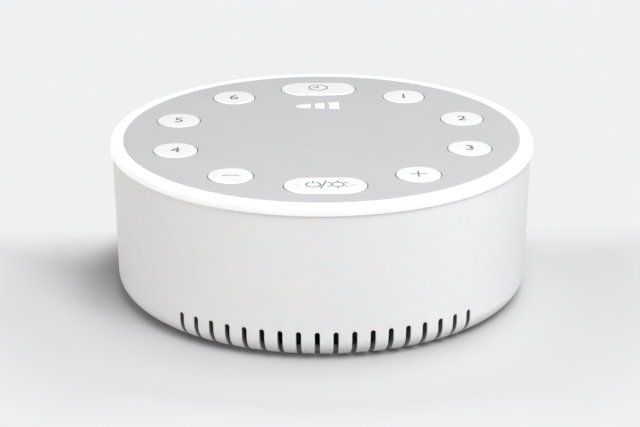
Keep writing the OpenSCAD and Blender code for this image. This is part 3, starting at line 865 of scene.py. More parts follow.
@dataclass(frozen=True)
class Shell(Moulded):
    """The white shell, with painted shade darkening its slots and round its foot.

    Attributes:
        round_r: Distance of the middle of the foot's rounding from the axis.
        round_z: Height of that middle.
        foot_round: Radius of the rounding.
        slot_shade_depths: Depths in the wall between which the painted shade in the slots begins.
        slot_shade_top: Height up to which there is any.
        slot_shade: Shares of the colour that this painted shade leaves at the foot and at the
            slots' tops.
        foot: Heights between which the painted shade round the foot ends.
        foot_shade: Share of the colour that this painted shade takes.
    """

    round_r: float = 57.6 * MM
    round_z: float = 7 * MM
    foot_round: float = 6 * MM
    slot_shade_depths: Point = (0.04 * MM, 0.45 * MM)
    slot_shade_top: float = 12 * MM
    slot_shade: Point = (0.55, 0.14)
    foot: Point = (1.2 * MM, 5.5 * MM)
    foot_shade: float = 0.45

    def colour(self, shader: Shader) -> bpy.types.NodeSocket:
        """The colour over the surface, with painted shade in the slots and round the foot."""
        bench = shader.bench
        split = bench.split(shader.position)
        z = split["Z"]
        across = bench.math("SQRT", bench.math(
            "ADD", bench.math("POWER", split["X"], 2.0),
            bench.math("POWER", split["Y"], 2.0)))
        out = bench.math("MAXIMUM", bench.math("SUBTRACT", across, self.round_r), 0.0)
        down = bench.math("MINIMUM", bench.math("SUBTRACT", z, self.round_z), 0.0)
        reach = bench.math("SQRT", bench.math("MULTIPLY_ADD", out, out,
                                              bench.math("MULTIPLY", down, down)))
        depth = bench.math("SUBTRACT", self.foot_round, reach)
        # Painted shade: the wall's colour goes dark inside the slots, darkest towards their tops.
        deep = bench.math("MULTIPLY", bench.ramp(depth, *self.slot_shade_depths),
                          bench.math("LESS_THAN", z, self.slot_shade_top))
        low, high = (rgba(tuple(c * share for c in self.light)) for share in self.slot_shade)
        slot_shade = bench.mix(bench.ramp(z, self.foot[0], self.round_z), low, high)
        # Painted shade: the colour darkens towards the foot, where the floor shades the rounding.
        foot_shade = bench.math("MULTIPLY", bench.math("SUBTRACT", 1.0, bench.ramp(z, *self.foot)),
                           self.foot_shade)
        foot_shaded = bench.mix(foot_shade, super().colour(shader), low)
        return bench.mix(deep, foot_shaded, slot_shade)


@dataclass(frozen=True)
class Metal:
    """A bare, plated or pressed metal.

    Attributes:
        slot: Material slot of the record that it stands for.
        light: Colour of its lighter patches.
        dark: Colour of its darker patches.
        smooth: Roughness of its smoother patches.
        rough: Roughness of its rougher patches.
        metallic: 1 for bare metal, less under paint or oxide.
        brushing: Fine lines a metre along its height.
        relief: Depth of those lines in metres.
        drift: Changes of tone a metre.
        wear: Changes of gloss a metre.
    """

    slot: str
    light: Colour
    dark: Colour
    smooth: float = 0.25
    rough: float = 0.42
    metallic: float = 1.0
    brushing: float = 3000
    relief: float = 0.004 * MM
    drift: float = 160.0
    wear: float = 300.0

    def material(self) -> bpy.types.Material:
        """Builds the material."""
        shader = Shader(self.slot)
        bench = shader.bench
        stretch = bench.add("ShaderNodeVectorMath", operation="MULTIPLY")
        stretch.inputs[1].default_value = (0.12, 0.12, 1.0)
        bench.feed(stretch.inputs[0], shader.position)
        lines = bench.noise(stretch.outputs[0], self.brushing, 4, 0.7)
        shader.drive("Base Color", shader.tone(self.drift, self.light, self.dark))
        shader.handled(self.wear, self.smooth, self.rough)
        shader.constant("Metallic", self.metallic)
        shader.bump(lines, self.relief)
        return shader.material


@dataclass(frozen=True)
class Board:
    """A circuit board under solder mask, with copper tracks showing through.

    Attributes:
        slot: Material slot of the record that it stands for.
        mask: Colour of the solder mask over bare board.
        track: Colour of the mask over copper.
        pitch: Spacing of the tracks in metres.
        used: Draw of 0 to 1 above which a stretch of board holds a track.
        relief: Height of the tracks in metres.
        drift: Changes of tone a metre.
        wear: Changes of gloss a metre.
        gloss: Least and greatest roughness.
    """

    slot: str
    mask: Colour
    track: Colour
    pitch: float = 1.27 * MM
    used: float = 0.45
    relief: float = 0.03 * MM
    drift: float = 60.0
    wear: float = 80.0
    gloss: Point = (0.2, 0.36)

    def material(self) -> bpy.types.Material:
        """Builds the material."""
        shader = Shader(self.slot)
        bench = shader.bench
        snap = bench.add("ShaderNodeVectorMath", operation="SNAP")
        snap.inputs[1].default_value = (8 * self.pitch, self.pitch / 2, 1.0)
        bench.feed(snap.inputs[0], shader.position)
        split = bench.split(shader.position)
        chance = bench.add("ShaderNodeTexWhiteNoise", noise_dimensions="3D")
        bench.feed(chance.inputs["Vector"], snap.outputs[0])
        along = bench.math("PINGPONG", split["Y"], self.pitch / 2)
        line = bench.math("LESS_THAN", along, self.pitch * 0.17)
        used = bench.math("GREATER_THAN", chance.outputs["Value"], self.used)
        tracks = bench.math("MULTIPLY", line, used)
        tone = shader.tone(self.drift, self.mask, tuple(c * 0.7 for c in self.mask))
        shader.drive("Base Color", bench.mix(tracks, tone, rgba(self.track)))
        shader.handled(self.wear, *self.gloss)
        shader.bump(tracks, self.relief, 0.6)
        return shader.material


@dataclass(frozen=True)
class Banded:
    """A surface with fine even bands, such as a winding or a woven cloth.

    Attributes:
        slot: Material slot of the record that it stands for.
        crest: Colour on the bands.
        groove: Colour between them.
        bands: Bands a metre.
        upright: Weight of the bands that are stacked along the height.
        across: Weight of a second set that crosses the first.
        metallic: 1 for bare metal.
        roughness: Roughness around which it varies.
        relief: Depth of the bands in metres.
        wear: Changes of gloss a metre.
    """

    slot: str
    crest: Colour
    groove: Colour
    bands: float
    upright: float = 1.0
    across: float = 0.0
    metallic: float = 0.0
    roughness: float = 0.5
    relief: float = 0.05 * MM
    wear: float = 120.0

    def material(self) -> bpy.types.Material:
        """Builds the material."""
        shader = Shader(self.slot)
        bench = shader.bench
        split = bench.split(shader.position)
        first = self.wave(bench, split["Z" if self.upright else "X"])
        second = self.wave(bench, split["Y"])
        height = bench.math("MULTIPLY_ADD", second, self.across, first)
        share = bench.math("MULTIPLY", height, 1 / (1 + self.across))
        shader.drive("Base Color", bench.mix(share, rgba(self.groove), rgba(self.crest)))
        shader.handled(self.wear, self.roughness * 0.85, min(self.roughness * 1.2, 1.0))
        shader.constant("Metallic", self.metallic)
        shader.bump(share, self.relief)
        return shader.material

    def wave(self, bench: Bench, along: bpy.types.NodeSocket) -> bpy.types.NodeSocket:
        """A smooth wave of 0 to 1 along one direction."""
        turns = bench.math("MULTIPLY", along, TAU * self.bands)
        return bench.math("MULTIPLY_ADD", bench.math("SINE", turns), 0.5, 0.5)


Finish = Moulded | Metal | Board | Banded

FINISHES: list[Finish] = [
    Shell("white_shell", srgb(236, 236, 236), srgb(231, 231, 232), 0.34, 0.44,
            grain=3200, relief=0.006 * MM, through=0.8 * MM),
    Moulded("opal_ring", srgb(184, 184, 184), srgb(180, 180, 181), 0.3, 0.38,
            grain=3600, relief=0.004 * MM, glow=1.08, through=1.5 * MM, gloss=0.3),
    Moulded("grey_panel", srgb(208, 208, 210), srgb(204, 204, 206), 0.5, 0.6,
            grain=2400, relief=0.016 * MM, gloss=0.2),
    Moulded("white_key", srgb(249, 249, 251), srgb(246, 246, 248), 0.36, 0.46,
            grain=3600, relief=0.005 * MM, through=0.5 * MM, gloss=0.35),
    Moulded("opal_pipe", srgb(252, 252, 252), srgb(248, 248, 249), 0.25, 0.33,
            grain=3600, relief=0.003 * MM, glow=0.05, through=1.0 * MM),
    Moulded("key_ink", srgb(112, 112, 116), srgb(96, 96, 100), 0.5, 0.62,
            grain=5200, relief=0.004 * MM),
    Moulded("faint_ink", srgb(214, 214, 218), srgb(206, 206, 211), 0.5, 0.62,
            grain=5200, relief=0.004 * MM),
    Moulded("white_base", srgb(226, 226, 226), srgb(220, 220, 221), 0.45, 0.58,
            grain=1900, relief=0.03 * MM, pebble=0.9),
    Moulded("silicone_mat", srgb(196, 200, 203), srgb(184, 189, 193), 0.42, 0.56,
            grain=1500, relief=0.02 * MM, through=1.2 * MM),
    Moulded("light_chip", srgb(238, 224, 150), srgb(226, 205, 110), 0.2, 0.3,
            grain=4000, relief=0.006 * MM, through=0.3 * MM),
    Moulded("chip_black", srgb(44, 44, 46), srgb(36, 36, 38), 0.5, 0.66,
            grain=3000, relief=0.03 * MM),
    Moulded("socket_nylon", srgb(232, 226, 208), srgb(224, 216, 195), 0.34, 0.46,
            grain=1800, relief=0.01 * MM, through=0.8 * MM),
    Moulded("black_plastic", srgb(44, 44, 46), srgb(36, 36, 37), 0.42, 0.56,
            grain=1700, relief=0.03 * MM),
    Moulded("black_foam", srgb(46, 46, 46), srgb(28, 28, 28), 0.86, 0.96,
            grain=1300, relief=0.2 * MM, pebble=1.6),
    Moulded("black_rubber", srgb(34, 34, 35), srgb(26, 26, 27), 0.5, 0.66,
            grain=1400, relief=0.02 * MM),
    Moulded("cone_paper", srgb(58, 57, 56), srgb(44, 43, 43), 0.72, 0.88,
            grain=900, relief=0.08 * MM, pebble=0.3),
    Moulded("ferrite", srgb(62, 62, 64), srgb(44, 44, 46), 0.6, 0.78,
            grain=1600, relief=0.06 * MM, pebble=1.2),
    Moulded("grey_rubber", srgb(104, 104, 106), srgb(92, 92, 94), 0.62, 0.76,
            grain=1500, relief=0.03 * MM),
    Moulded("red_wire", srgb(188, 32, 28), srgb(170, 24, 22), 0.34, 0.44,
            grain=1200, relief=0.01 * MM),
    Moulded("black_wire", srgb(38, 38, 40), srgb(30, 30, 32), 0.34, 0.44,
            grain=1200, relief=0.01 * MM),
    Metal("capacitor_can", srgb(196, 198, 202), srgb(182, 184, 188), 0.22, 0.34),
    Metal("small_screw", srgb(198, 198, 200), srgb(178, 178, 182), 0.26, 0.4),
    Metal("black_screw", srgb(58, 58, 60), srgb(44, 44, 46), 0.36, 0.5, metallic=0.7),
    Metal("base_screw", srgb(192, 192, 196), srgb(172, 172, 176), 0.28, 0.42),
    Metal("pressed_steel", srgb(64, 64, 67), srgb(50, 50, 53), 0.4, 0.52, metallic=0.4),
    Metal("plated_steel", srgb(196, 197, 202), srgb(174, 176, 184), 0.24, 0.4),
    Metal("terminal_brass", srgb(204, 178, 122), srgb(184, 154, 96), 0.26, 0.4),
    Metal("contact_metal", srgb(216, 216, 220), srgb(198, 198, 203), 0.18, 0.28),
    Board("circuit_board", srgb(30, 104, 60), srgb(58, 140, 84)),
    Banded("copper_coil", srgb(206, 128, 74), srgb(120, 58, 26), 5200, metallic=0.9,
           roughness=0.3, relief=0.04 * MM),
    Banded("spider_cloth", srgb(212, 178, 112), srgb(150, 112, 56), 1900, upright=0.0,
           across=1.0, roughness=0.8, relief=0.08 * MM),
]


class Materials:
    """Makes each finish's material the first time that it is asked for."""

    def __init__(self, finishes: list[Finish]) -> None:
        """Takes the finishes of the whole object."""
        self.finishes = {finish.slot: finish for finish in finishes}
        self.made: dict[str, bpy.types.Material] = {}

    def of(self, slot: str) -> bpy.types.Material:
        """The material of a slot."""
        if slot not in self.made:
            self.made[slot] = self.finishes[slot].material()
        return self.made[slot]


# ---------------------------------------------------------------- sub-assemblies


@dataclass
class DrumShell:
    """The white drum wall with its rounded foot, sound slots and inlet hole.

    Attributes:
        materials: The object's materials.
        wall: Thickness of the moulding.
        foot_round: Radius of the rounding at the foot.
        lip_width: Width of the flat lip inside that rounding.
        edge: Rounding of the wall's own edges.
        slot_count: Number of slots.
        slot_pitch: Turn between neighbouring slots, in degrees.
        slot_half: Half of a slot's width.
        slot_height: Height of the slots above the underside.
        slot_edge: Rounding of a slot's outer edge.
        slot_reach: Distance that a slot runs in past the rounding.
        seat_radius: Radius of the seat round the inlet hole.
        seat_depth: Depth of that seat.
        hole_radius: Radius of the inlet hole.
        inlet_half_turn: Half of the turn that the inlet's stretch of wall takes, in degrees.
        inlet_half_height: Half of that stretch's height.
        cell_columns: Steps across a slot's stretch of wall.
        inlet_columns: Steps across the inlet's stretch.
        boss_radius: Radius of a screw boss.
        boss_hole: Radius of its bore.
        rib: Thickness of the rib that ties it to the wall.
        draft: How much wider the wall is at its top than at the rounding.
        pin_radius: Radius of the inlet's pin, at the middle of the inlet.
        round_steps: Steps in the rounding at the foot.
        wall_columns: Steps of the plain wall on each side.
        slot_rows: Rows over the round top of a slot, in millimetres over its start.
        top_rows: Rows under the wall's top, in millimetres.
    """

    materials: Materials
    wall: float = 2.2 * MM
    foot_round: float = 6 * MM
    lip_width: float = 2.1 * MM
    edge: float = 0.25 * MM
    slot_count: int = 18
    slot_pitch: float = 4.9
    slot_half: float = 0.75 * MM
    slot_height: float = 8.6 * MM
    slot_edge: float = 0.22 * MM
    slot_reach: float = 0.3 * MM
    seat_radius: float = 6.5 * MM
    seat_depth: float = 0.9 * MM
    hole_radius: float = 4.2 * MM
    inlet_half_turn: float = 9.0
    inlet_half_height: float = 10 * MM
    cell_columns: int = 8
    inlet_columns: int = 16
    boss_radius: float = 3.6 * MM
    boss_hole: float = 1.6 * MM
    rib: float = 1.6 * MM
    draft: float = 0.7 * MM
    pin_radius: float = 1.0 * MM
    round_steps: int = 14
    wall_columns: int = 104
    slot_rows: tuple[float, ...] = (0.8, 1.7, 2.8)
    top_rows: tuple[float, ...] = (8, 4, 1)

    def __post_init__(self) -> None:
        """Works out the wall's heights and radii from the frame."""
        low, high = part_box("housing")
        self.base_z, self.top_z = low.z, high.z
        self.top_r = high.x
        self.low_r = self.top_r - self.draft
        self.round_r = self.low_r - self.foot_round
        self.round_z = self.base_z + self.foot_round
        self.lip_r = self.round_r - self.lip_width
        self.inlet_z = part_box("inlet_pin")[0].z + self.pin_radius
        self.chamber_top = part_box("baffle")[0].z
        self.rows = self.wall_rows()

    def outer_radius(self, z: float) -> float:
        """Radius of the drafted wall at a height."""
        return self.low_r + self.draft * (z - self.round_z) / (self.top_z - self.round_z)

    def wall_rows(self) -> list[Point]:
        """Radius and height of each row of the outer surface, from the lip to the top."""
        lip = [(self.lip_r + self.edge, self.base_z), (self.lip_r + 0.9 * MM, self.base_z)]
        turn = arc_points((self.round_r, self.round_z), self.foot_round, -90, 0, self.round_steps)
        heights = [self.base_z + self.slot_height - self.slot_half + k * MM for k in (-1.05, 0)]
        heights += [heights[-1] + k * MM for k in self.slot_rows]
        inlet_low = self.inlet_z - self.inlet_half_height
        step = 2 * self.inlet_half_height / self.inlet_columns
        heights += [inlet_low + k * step for k in range(self.inlet_columns + 1)]
        heights += [self.top_z - k * MM for k in self.top_rows] + [self.top_z - self.edge]
        return lip + turn + [(self.outer_radius(z), z) for z in heights]

    def inner(self, row: int) -> Point:
        """The inner surface's radius and height behind an outer row."""
        return self.inset(self.rows[row], self.wall)

    def inset(self, spot: Point, depth: float) -> Point:
        """Moves a point of the outer profile straight into the wall.

        Args:
            spot: Radius and height on the outer profile.
            depth: Distance into the wall.

        Returns:
            Radius and height there.
        """
        r, z = spot
        if r <= self.round_r:
            return r, z + depth
        if z < self.round_z:
            spoke = Vector((r - self.round_r, z - self.round_z)).normalized() * depth
            return r - spoke.x, z - spoke.y
        return r - depth, z

    def profile(self) -> Outline:
        """The closed profile of the plain wall."""
        outer = list(self.rows)
        inner = [self.inner(row) for row in range(len(self.rows))]
        last_r = self.rows[-1][0]
        top = [(last_r - self.edge * 0.3, self.top_z - self.edge * 0.3),
               (last_r - self.edge, self.top_z), (inner[-1][0], self.top_z)]
        foot = [(self.lip_r, self.base_z + self.wall), (self.lip_r, self.base_z + self.edge),
                (self.lip_r + self.edge * 0.3, self.base_z + self.edge * 0.3)]
        return outer + top + inner[::-1] + foot

    def strip(self, work: Sheetwork, turns: list[float], kept: range | None = None) -> None:
        """Adds the wall between two turns.

        Args:
            work: Where the faces go.
            turns: Turns of the columns, in degrees.
            kept: Rows of the outer surface, and those behind them, to leave open.
        """
        profile = self.profile()
        count, rows = len(profile), len(self.rows)
        mirror = rows + 3 + rows - 1
        columns = [work.loop(turned(profile, math.radians(turn))) for turn in turns]
        for one, other in zip(columns, columns[1:]):
            for i in range(count):
                j = (i + 1) % count
                outer_row = i if i < rows else mirror - j
                if kept and outer_row in kept and (i < rows - 1 or rows + 3 <= i < mirror):
                    continue
                work.faces.append((one[i], one[j], other[j], other[i]))

    def tangent_spot(self, x: float, spot: Point) -> Spot:
        """A point at a sideways distance on the circle of a profile point, at the front."""
        r, z = spot
        return x, -math.sqrt(r * r - x * x), z

    def slot_outline(self, row_low: int, row_high: int, growth: float, depth: float,
                     arc_steps: int) -> list[Spot]:
        """One loop round a slot.

        Args:
            row_low: First row above the slot's inner end.
            row_high: Row at which the round top starts.
            growth: Distance outside the slot's own edge.
            depth: Distance into the wall.
            arc_steps: Stretches of the round top.

        Returns:
            The loop's points, from the low left corner up, over and down.
        """
        half = self.slot_half + growth
        end = (self.round_r - self.slot_reach - growth, self.base_z)
        side = [end] + self.rows[row_low:row_high + 1]
        left = [self.tangent_spot(-half, self.inset(spot, depth)) for spot in side]
        right = [self.tangent_spot(half, self.inset(spot, depth)) for spot in reversed(side)]
        crown = []
        arch_z = self.rows[row_high][1]
        for k in range(1, arc_steps):
            a = math.pi * (1 - k / arc_steps)
            z = arch_z + half * math.sin(a)
            spot = self.inset((self.outer_radius(z), z), depth)
            crown.append(self.tangent_spot(half * math.cos(a), spot))
        foot = []
        for k in range(1, self.cell_columns):
            x = half * (1 - 2 * k / self.cell_columns)
            foot.append(self.tangent_spot(x, self.inset(end, depth)))
        return left + crown + right + foot

    def cell_frame(self, row_end: int, row_low: int, row_high: int, row_top: int,
                   depth: float) -> list[Spot]:
        """The loop along a slot cell's own border, point for point with a slot's outline."""
        half_turn = math.radians(self.slot_pitch / 2)

        def at(share: float, row: int) -> Spot:
            """A border point at a share of -1 to 1 of the cell's width."""
            r, z = self.inset(self.rows[row], depth)
            return *around(r, share * half_turn), z

        left_rows = [row_end] + list(range(row_low, row_high + 1))
        crown = [at(-1, row) for row in range(row_high + 1, row_top + 1)]
        steps = self.cell_columns
        crown += [at(2 * k / steps - 1, row_top) for k in range(1, steps)]
        crown += [at(1, row) for row in range(row_top, row_high, -1)]
        foot = [at(1 - 2 * k / steps, row_end) for k in range(1, steps)]
        return ([at(-1, row) for row in left_rows] + crown
                + [at(1, row) for row in reversed(left_rows)] + foot)

    def slot_cell(self) -> bpy.types.Object:
        """Builds the stretch of wall round one slot, at the front."""
        work = Sheetwork()
        heights = [z for _, z in self.rows]
        row_end, row_low = 1, 2
        arch_z = self.base_z + self.slot_height - self.slot_half
        row_high = min(range(len(heights)), key=lambda i: abs(heights[i] - arch_z))
        row_top = row_high + 3
        arc_steps = 2 * (row_top - row_high) + self.cell_columns
        half = self.slot_pitch / 2
        steps = self.cell_columns
        self.strip(work, [half * (2 * k / steps - 1) for k in range(steps + 1)],
                   range(row_end, row_top))
        loops = [self.cell_frame(row_end, row_low, row_high, row_top, 0)]
        loops.append([])
        for growth, depth in soft_edge(0, 1, self.slot_edge, 5):
            loops.append(self.slot_outline(row_low, row_high, growth, depth, arc_steps))
        loops[1] = [
            tuple((Vector(a) * 0.45 + Vector(b) * 0.55)[:]) for a, b in zip(loops[0], loops[2])
        ]
        loops.append(self.slot_outline(row_low, row_high, 0, self.wall, arc_steps))
        loops.append(self.cell_frame(row_end, row_low, row_high, row_top, self.wall))
        work.loft(loops, capped=False)
        return work.piece("slot_cell", self.materials.of("white_shell"))

    def inlet_cell(self, work: Sheetwork) -> None:
        """Adds the stretch of wall round the inlet hole, at the back."""
        low_z = self.inlet_z - self.inlet_half_height
        low_row = min(range(len(self.rows)), key=lambda i: abs(self.rows[i][1] - low_z))
        high_row = low_row + self.inlet_columns
        steps = self.inlet_columns
        half = self.inlet_half_turn
        self.strip(work, [180 - half + 2 * half * k / steps for k in range(steps + 1)],
                   range(low_row, high_row))

        def border(depth: float) -> list[Spot]:
            """The cell's square border."""

            def at(turn: float, row: int) -> Spot:
                """A point of it."""
                r, z = self.inset(self.rows[row], depth)
                return *around(r, math.radians(180 + turn)), z

            rows = range(low_row, high_row)
            shares = [half * (2 * k / steps - 1) for k in range(steps)]
            return ([at(-half, row) for row in rows] + [at(t, high_row) for t in shares]
                    + [at(half, high_row - k) for k in range(steps)]
                    + [at(-t, low_row) for t in shares])

        def round_loop(radius: float, y: float | None, depth: float = 0) -> list[Spot]:
            """A circle round the hole's axis, on a flat at y or on the wall's own surface."""
            spots = []
            for k in range(4 * steps):
                a = math.radians(-45 + 90 * k / steps)
                x, z = radius * math.cos(a), self.inlet_z + radius * math.sin(a)
                wall_r, _ = self.inset((self.outer_radius(z), z), depth)
                spots.append((x, y if y is not None else math.sqrt(wall_r ** 2 - x * x), z))
            return spots

        seat_y = self.low_r - self.seat_depth
        soft = self.slot_edge
        frame_loop = border(0)
        mouth = round_loop(self.seat_radius + soft, None)
        between = [tuple((Vector(a) * 0.5 + Vector(b) * 0.5)[:]) for a, b in zip(frame_loop, mouth)]
        loops = [frame_loop, between, mouth]
        for growth, depth in soft_edge(0, 1, soft)[1:]:
            ring = round_loop(self.seat_radius + growth, None)
            loops.append([(x, y - depth, z) for x, y, z in ring])
        loops.append(round_loop(self.seat_radius, seat_y))
        for growth, depth in soft_edge(0, 1, soft):
            loops.append(round_loop(self.hole_radius + growth, seat_y - depth))
        loops.append(round_loop(self.hole_radius, None, self.wall))
        loops.append(border(self.wall))
        work.loft(loops, capped=False)

    def boss_cell(self) -> bpy.types.Object:
        """Builds one screw boss and the rib that ties it to the wall, at the front."""
        work = Sheetwork()
        floor = self.base_z + self.wall - 0.2 * MM
        boss = [(self.boss_hole, floor, 0), (self.boss_radius, floor, 0),
                (self.boss_radius, self.chamber_top, 0.2 * MM),
                (self.boss_hole, self.chamber_top, 0.1 * MM)]
        work.revolve(softened(boss), 48, (0, -SCREW_CIRCLE))
        start = SCREW_CIRCLE + self.boss_hole + 0.8 * MM
        end = self.low_r - self.wall - 0.05 * MM
        half = self.rib / 2
        rib = rectangle((-half, -end), (half, -start), 0)
        foot_z = self.inset((self.low_r - 1.2 * MM, self.base_z + 3.2 * MM), self.wall)[1]
        work.loft([raised(rib, foot_z), raised(rib, self.chamber_top - 0.1 * MM),
                   raised(grown(rib, -0.1 * MM), self.chamber_top)])
        return work.piece("boss_cell", self.materials.of("white_shell"))

    def build(self) -> None:
        """Makes the shell and its bosses."""
        work = Sheetwork()
        fan = self.slot_count * self.slot_pitch / 2
        rear = 180 - self.inlet_half_turn
        step = (rear - fan) / self.wall_columns
        for start in (fan, 360 - rear):
            self.strip(work, [start + step * k for k in range(self.wall_columns + 1)])
        self.inlet_cell(work)
        shell = work.piece("drum_shell", self.materials.of("white_shell"))
        first = -(self.slot_count - 1) / 2 * self.slot_pitch
        TurnedCopies(self.slot_count, self.slot_pitch, first).onto(shell, self.slot_cell())
        settle(shell, "housing")
        for bosses in in_pairs(("shell_bosses", "shell_bosses_rear"),
                               self.materials.of("white_shell"), self.boss_cell):
            settle(bosses)


@dataclass
class LightRing:
    """The lit opal rim round the key panel.

    Attributes:
        materials: The object's materials.
        round_out: Rounding of its outer top edge.
        round_in: Rounding of its inner top edge.
        round_under: Rounding of its outer lower edge.
        band: Width of the band that shows.
        height: Height of that band.
        ledge: Width of the ledge under the panel.
        ledge_thick: Thickness of that ledge.
        skirt: Thickness of the skirt inside the wall.
        skirt_gap: Distance from the rim's outside in to the skirt.
        segments: Steps round the rim.
    """

    materials: Materials
    round_out: float = 1.2 * MM
    round_in: float = 0.2 * MM
    round_under: float = 0.3 * MM
    band: float = 4 * MM
    height: float = 2.8 * MM
    ledge: float = 3 * MM
    ledge_thick: float = 1.2 * MM
    skirt: float = 1.2 * MM
    skirt_gap: float = 3.1 * MM
    segments: int = 360

    def build(self) -> None:
        """Makes the rim."""
        low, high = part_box("light_ring")
        panel_z = panel_underside()
        outer, top, skirt_z = high.x, high.z, low.z
        inner, seat = outer - self.band, top - self.height
        skirt_r = outer - self.skirt_gap
        soft = self.round_in
        corners = [
            (inner, top, soft), (inner, panel_z, 0), (inner - self.ledge, panel_z, soft),
            (inner - self.ledge, panel_z - self.ledge_thick, soft),
            (skirt_r - self.skirt, panel_z - self.ledge_thick, soft),
            (skirt_r - self.skirt, skirt_z, soft), (skirt_r, skirt_z, soft),
            (skirt_r, seat, 0), (outer, seat, self.round_under), (outer, top, self.round_out),
        ]
        work = Sheetwork()
        work.revolve(softened(corners, 7), self.segments)
        rim = work.piece("light_rim", self.materials.of("opal_ring"))
        settle(rim, "light_ring")


@dataclass
class LevelLights:
    """The wedge of three level lights and the light pipe under them.

    Attributes:
        materials: The object's materials.
        widths: Widths of the three lights.
        gap: Gap between them.
        low: Height of the row at its small end.
        high: Height of the row at its large end.
        rise: How far the row's middle runs back towards its large end.
        tip: Length of the small end's point.
        shift: Distance of the row's middle to the left of the panel's.
        middle_y: Distance of the row behind the panel's middle.
        edge: Rounding of a light's edge.
        corner: Rounding of its corners.
        leg: Half of the side of the leg under a light.
        plate_corner: Rounding of the plate's corners.
        plate: Thickness of the plate that joins the lights.
    """

    materials: Materials
    widths: tuple[float, float, float] = (5.1 * MM, 3.3 * MM, 3.6 * MM)
    gap: float = 1.15 * MM
    low: float = 3.8 * MM
    high: float = 7.6 * MM
    rise: float = 0.6 * MM
    tip: float = 2.6 * MM
    shift: float = 0.65 * MM
    middle_y: float = 28.6 * MM
    edge: float = 0.12 * MM
    corner: float = 0.25 * MM
    leg: float = 1.3 * MM
    plate_corner: float = 0.8 * MM
    plate: float = 1.2 * MM

    def outlines(self) -> list[Outline]:
        """Outlines of the three lights, in place."""
        start = -(sum(self.widths) + 2 * self.gap) / 2 - self.shift
        wedge, end = start + self.tip, start + sum(self.widths) + 2 * self.gap

        def rim(x: float, side: int) -> Point:
            """A corner on the row's lower or upper line."""
            share = (x - wedge) / (end - wedge)
            half = self.low / 2 + (self.high - self.low) / 2 * share
            return x, self.middle_y + self.rise * share + side * half

        outlines = []
        for i, width in enumerate(self.widths):
            left = start + sum(self.widths[:i]) + i * self.gap
            right = left + width
            if i:
                corners = [rim(left, -1), rim(right, -1), rim(right, 1), rim(left, 1)]
                outlines.append(softened([(*spot, self.corner) for spot in corners], 3))
                continue
            radius = (self.tip ** 2 + (self.low / 2) ** 2) / self.low
            open_half = math.degrees(math.asin(self.tip / radius))
            upper = arc_points((wedge, self.middle_y + self.low / 2 - radius), radius,
                               90, 90 + open_half, 10)
            lower = arc_points((wedge, self.middle_y - self.low / 2 + radius), radius,
                               270 - open_half, 270, 10)
            blunt = softened([(*rim(right, -1), self.corner), (*rim(right, 1), self.corner),
                              (*upper[0], 0), (*lower[-1], 0)], 3)[:8]
            outlines.append(blunt + upper[:-1] + lower)
        return outlines

    def build(self) -> None:
        """Makes the lights."""
        low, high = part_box("level_light_pipe")
        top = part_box("fascia")[1].z
        panel_low = panel_underside()
        work = Sheetwork()
        for outline in self.outlines():
            work.loft([
                raised(outline, panel_low),
                raised(outline, top - self.edge),
                raised(grown(outline, -self.edge * 0.3), top - self.edge * 0.3),
                raised(grown(outline, -self.edge), top),
            ])
            xs = [x for x, _ in outline]
            x, y, half = (min(xs) + max(xs)) / 2, self.middle_y + self.rise / 2, self.leg
            leg = rectangle((x - half, y - half), (x + half, y + half), 0.3 * MM, 3)
            work.loft([raised(leg, low.z), raised(leg, panel_low - 1.1 * MM)])
        plate = rectangle(low.xy, high.xy, self.plate_corner)
        work.loft([raised(plate, panel_low - self.plate), raised(plate, panel_low)])
        lights = work.piece("level_lights", self.materials.of("opal_pipe"))
        settle(lights, "level_light_pipe")


@dataclass(frozen=True)
class KeySpec:
    """One key: its node, which is also its body, its place and its shape.

    Attributes:
        node: Name of the node and of the body.
        place: Steps of 36 degrees from the front, towards the right.
        shape: Round or long.
    """

    node: str
    place: int
    shape: Shape = Shape.ROUND


KEYS = [
    KeySpec("key_power", 0, Shape.LONG),
    KeySpec("key_volume_up", 1),
    KeySpec("key_sound_3", 2),
    KeySpec("key_sound_2", 3),
    KeySpec("key_sound_1", 4),
    KeySpec("key_timer", 5, Shape.LONG),
    KeySpec("key_sound_6", 6),
    KeySpec("key_sound_5", 7),
    KeySpec("key_sound_4", 8),
    KeySpec("key_volume_down", 9),
]


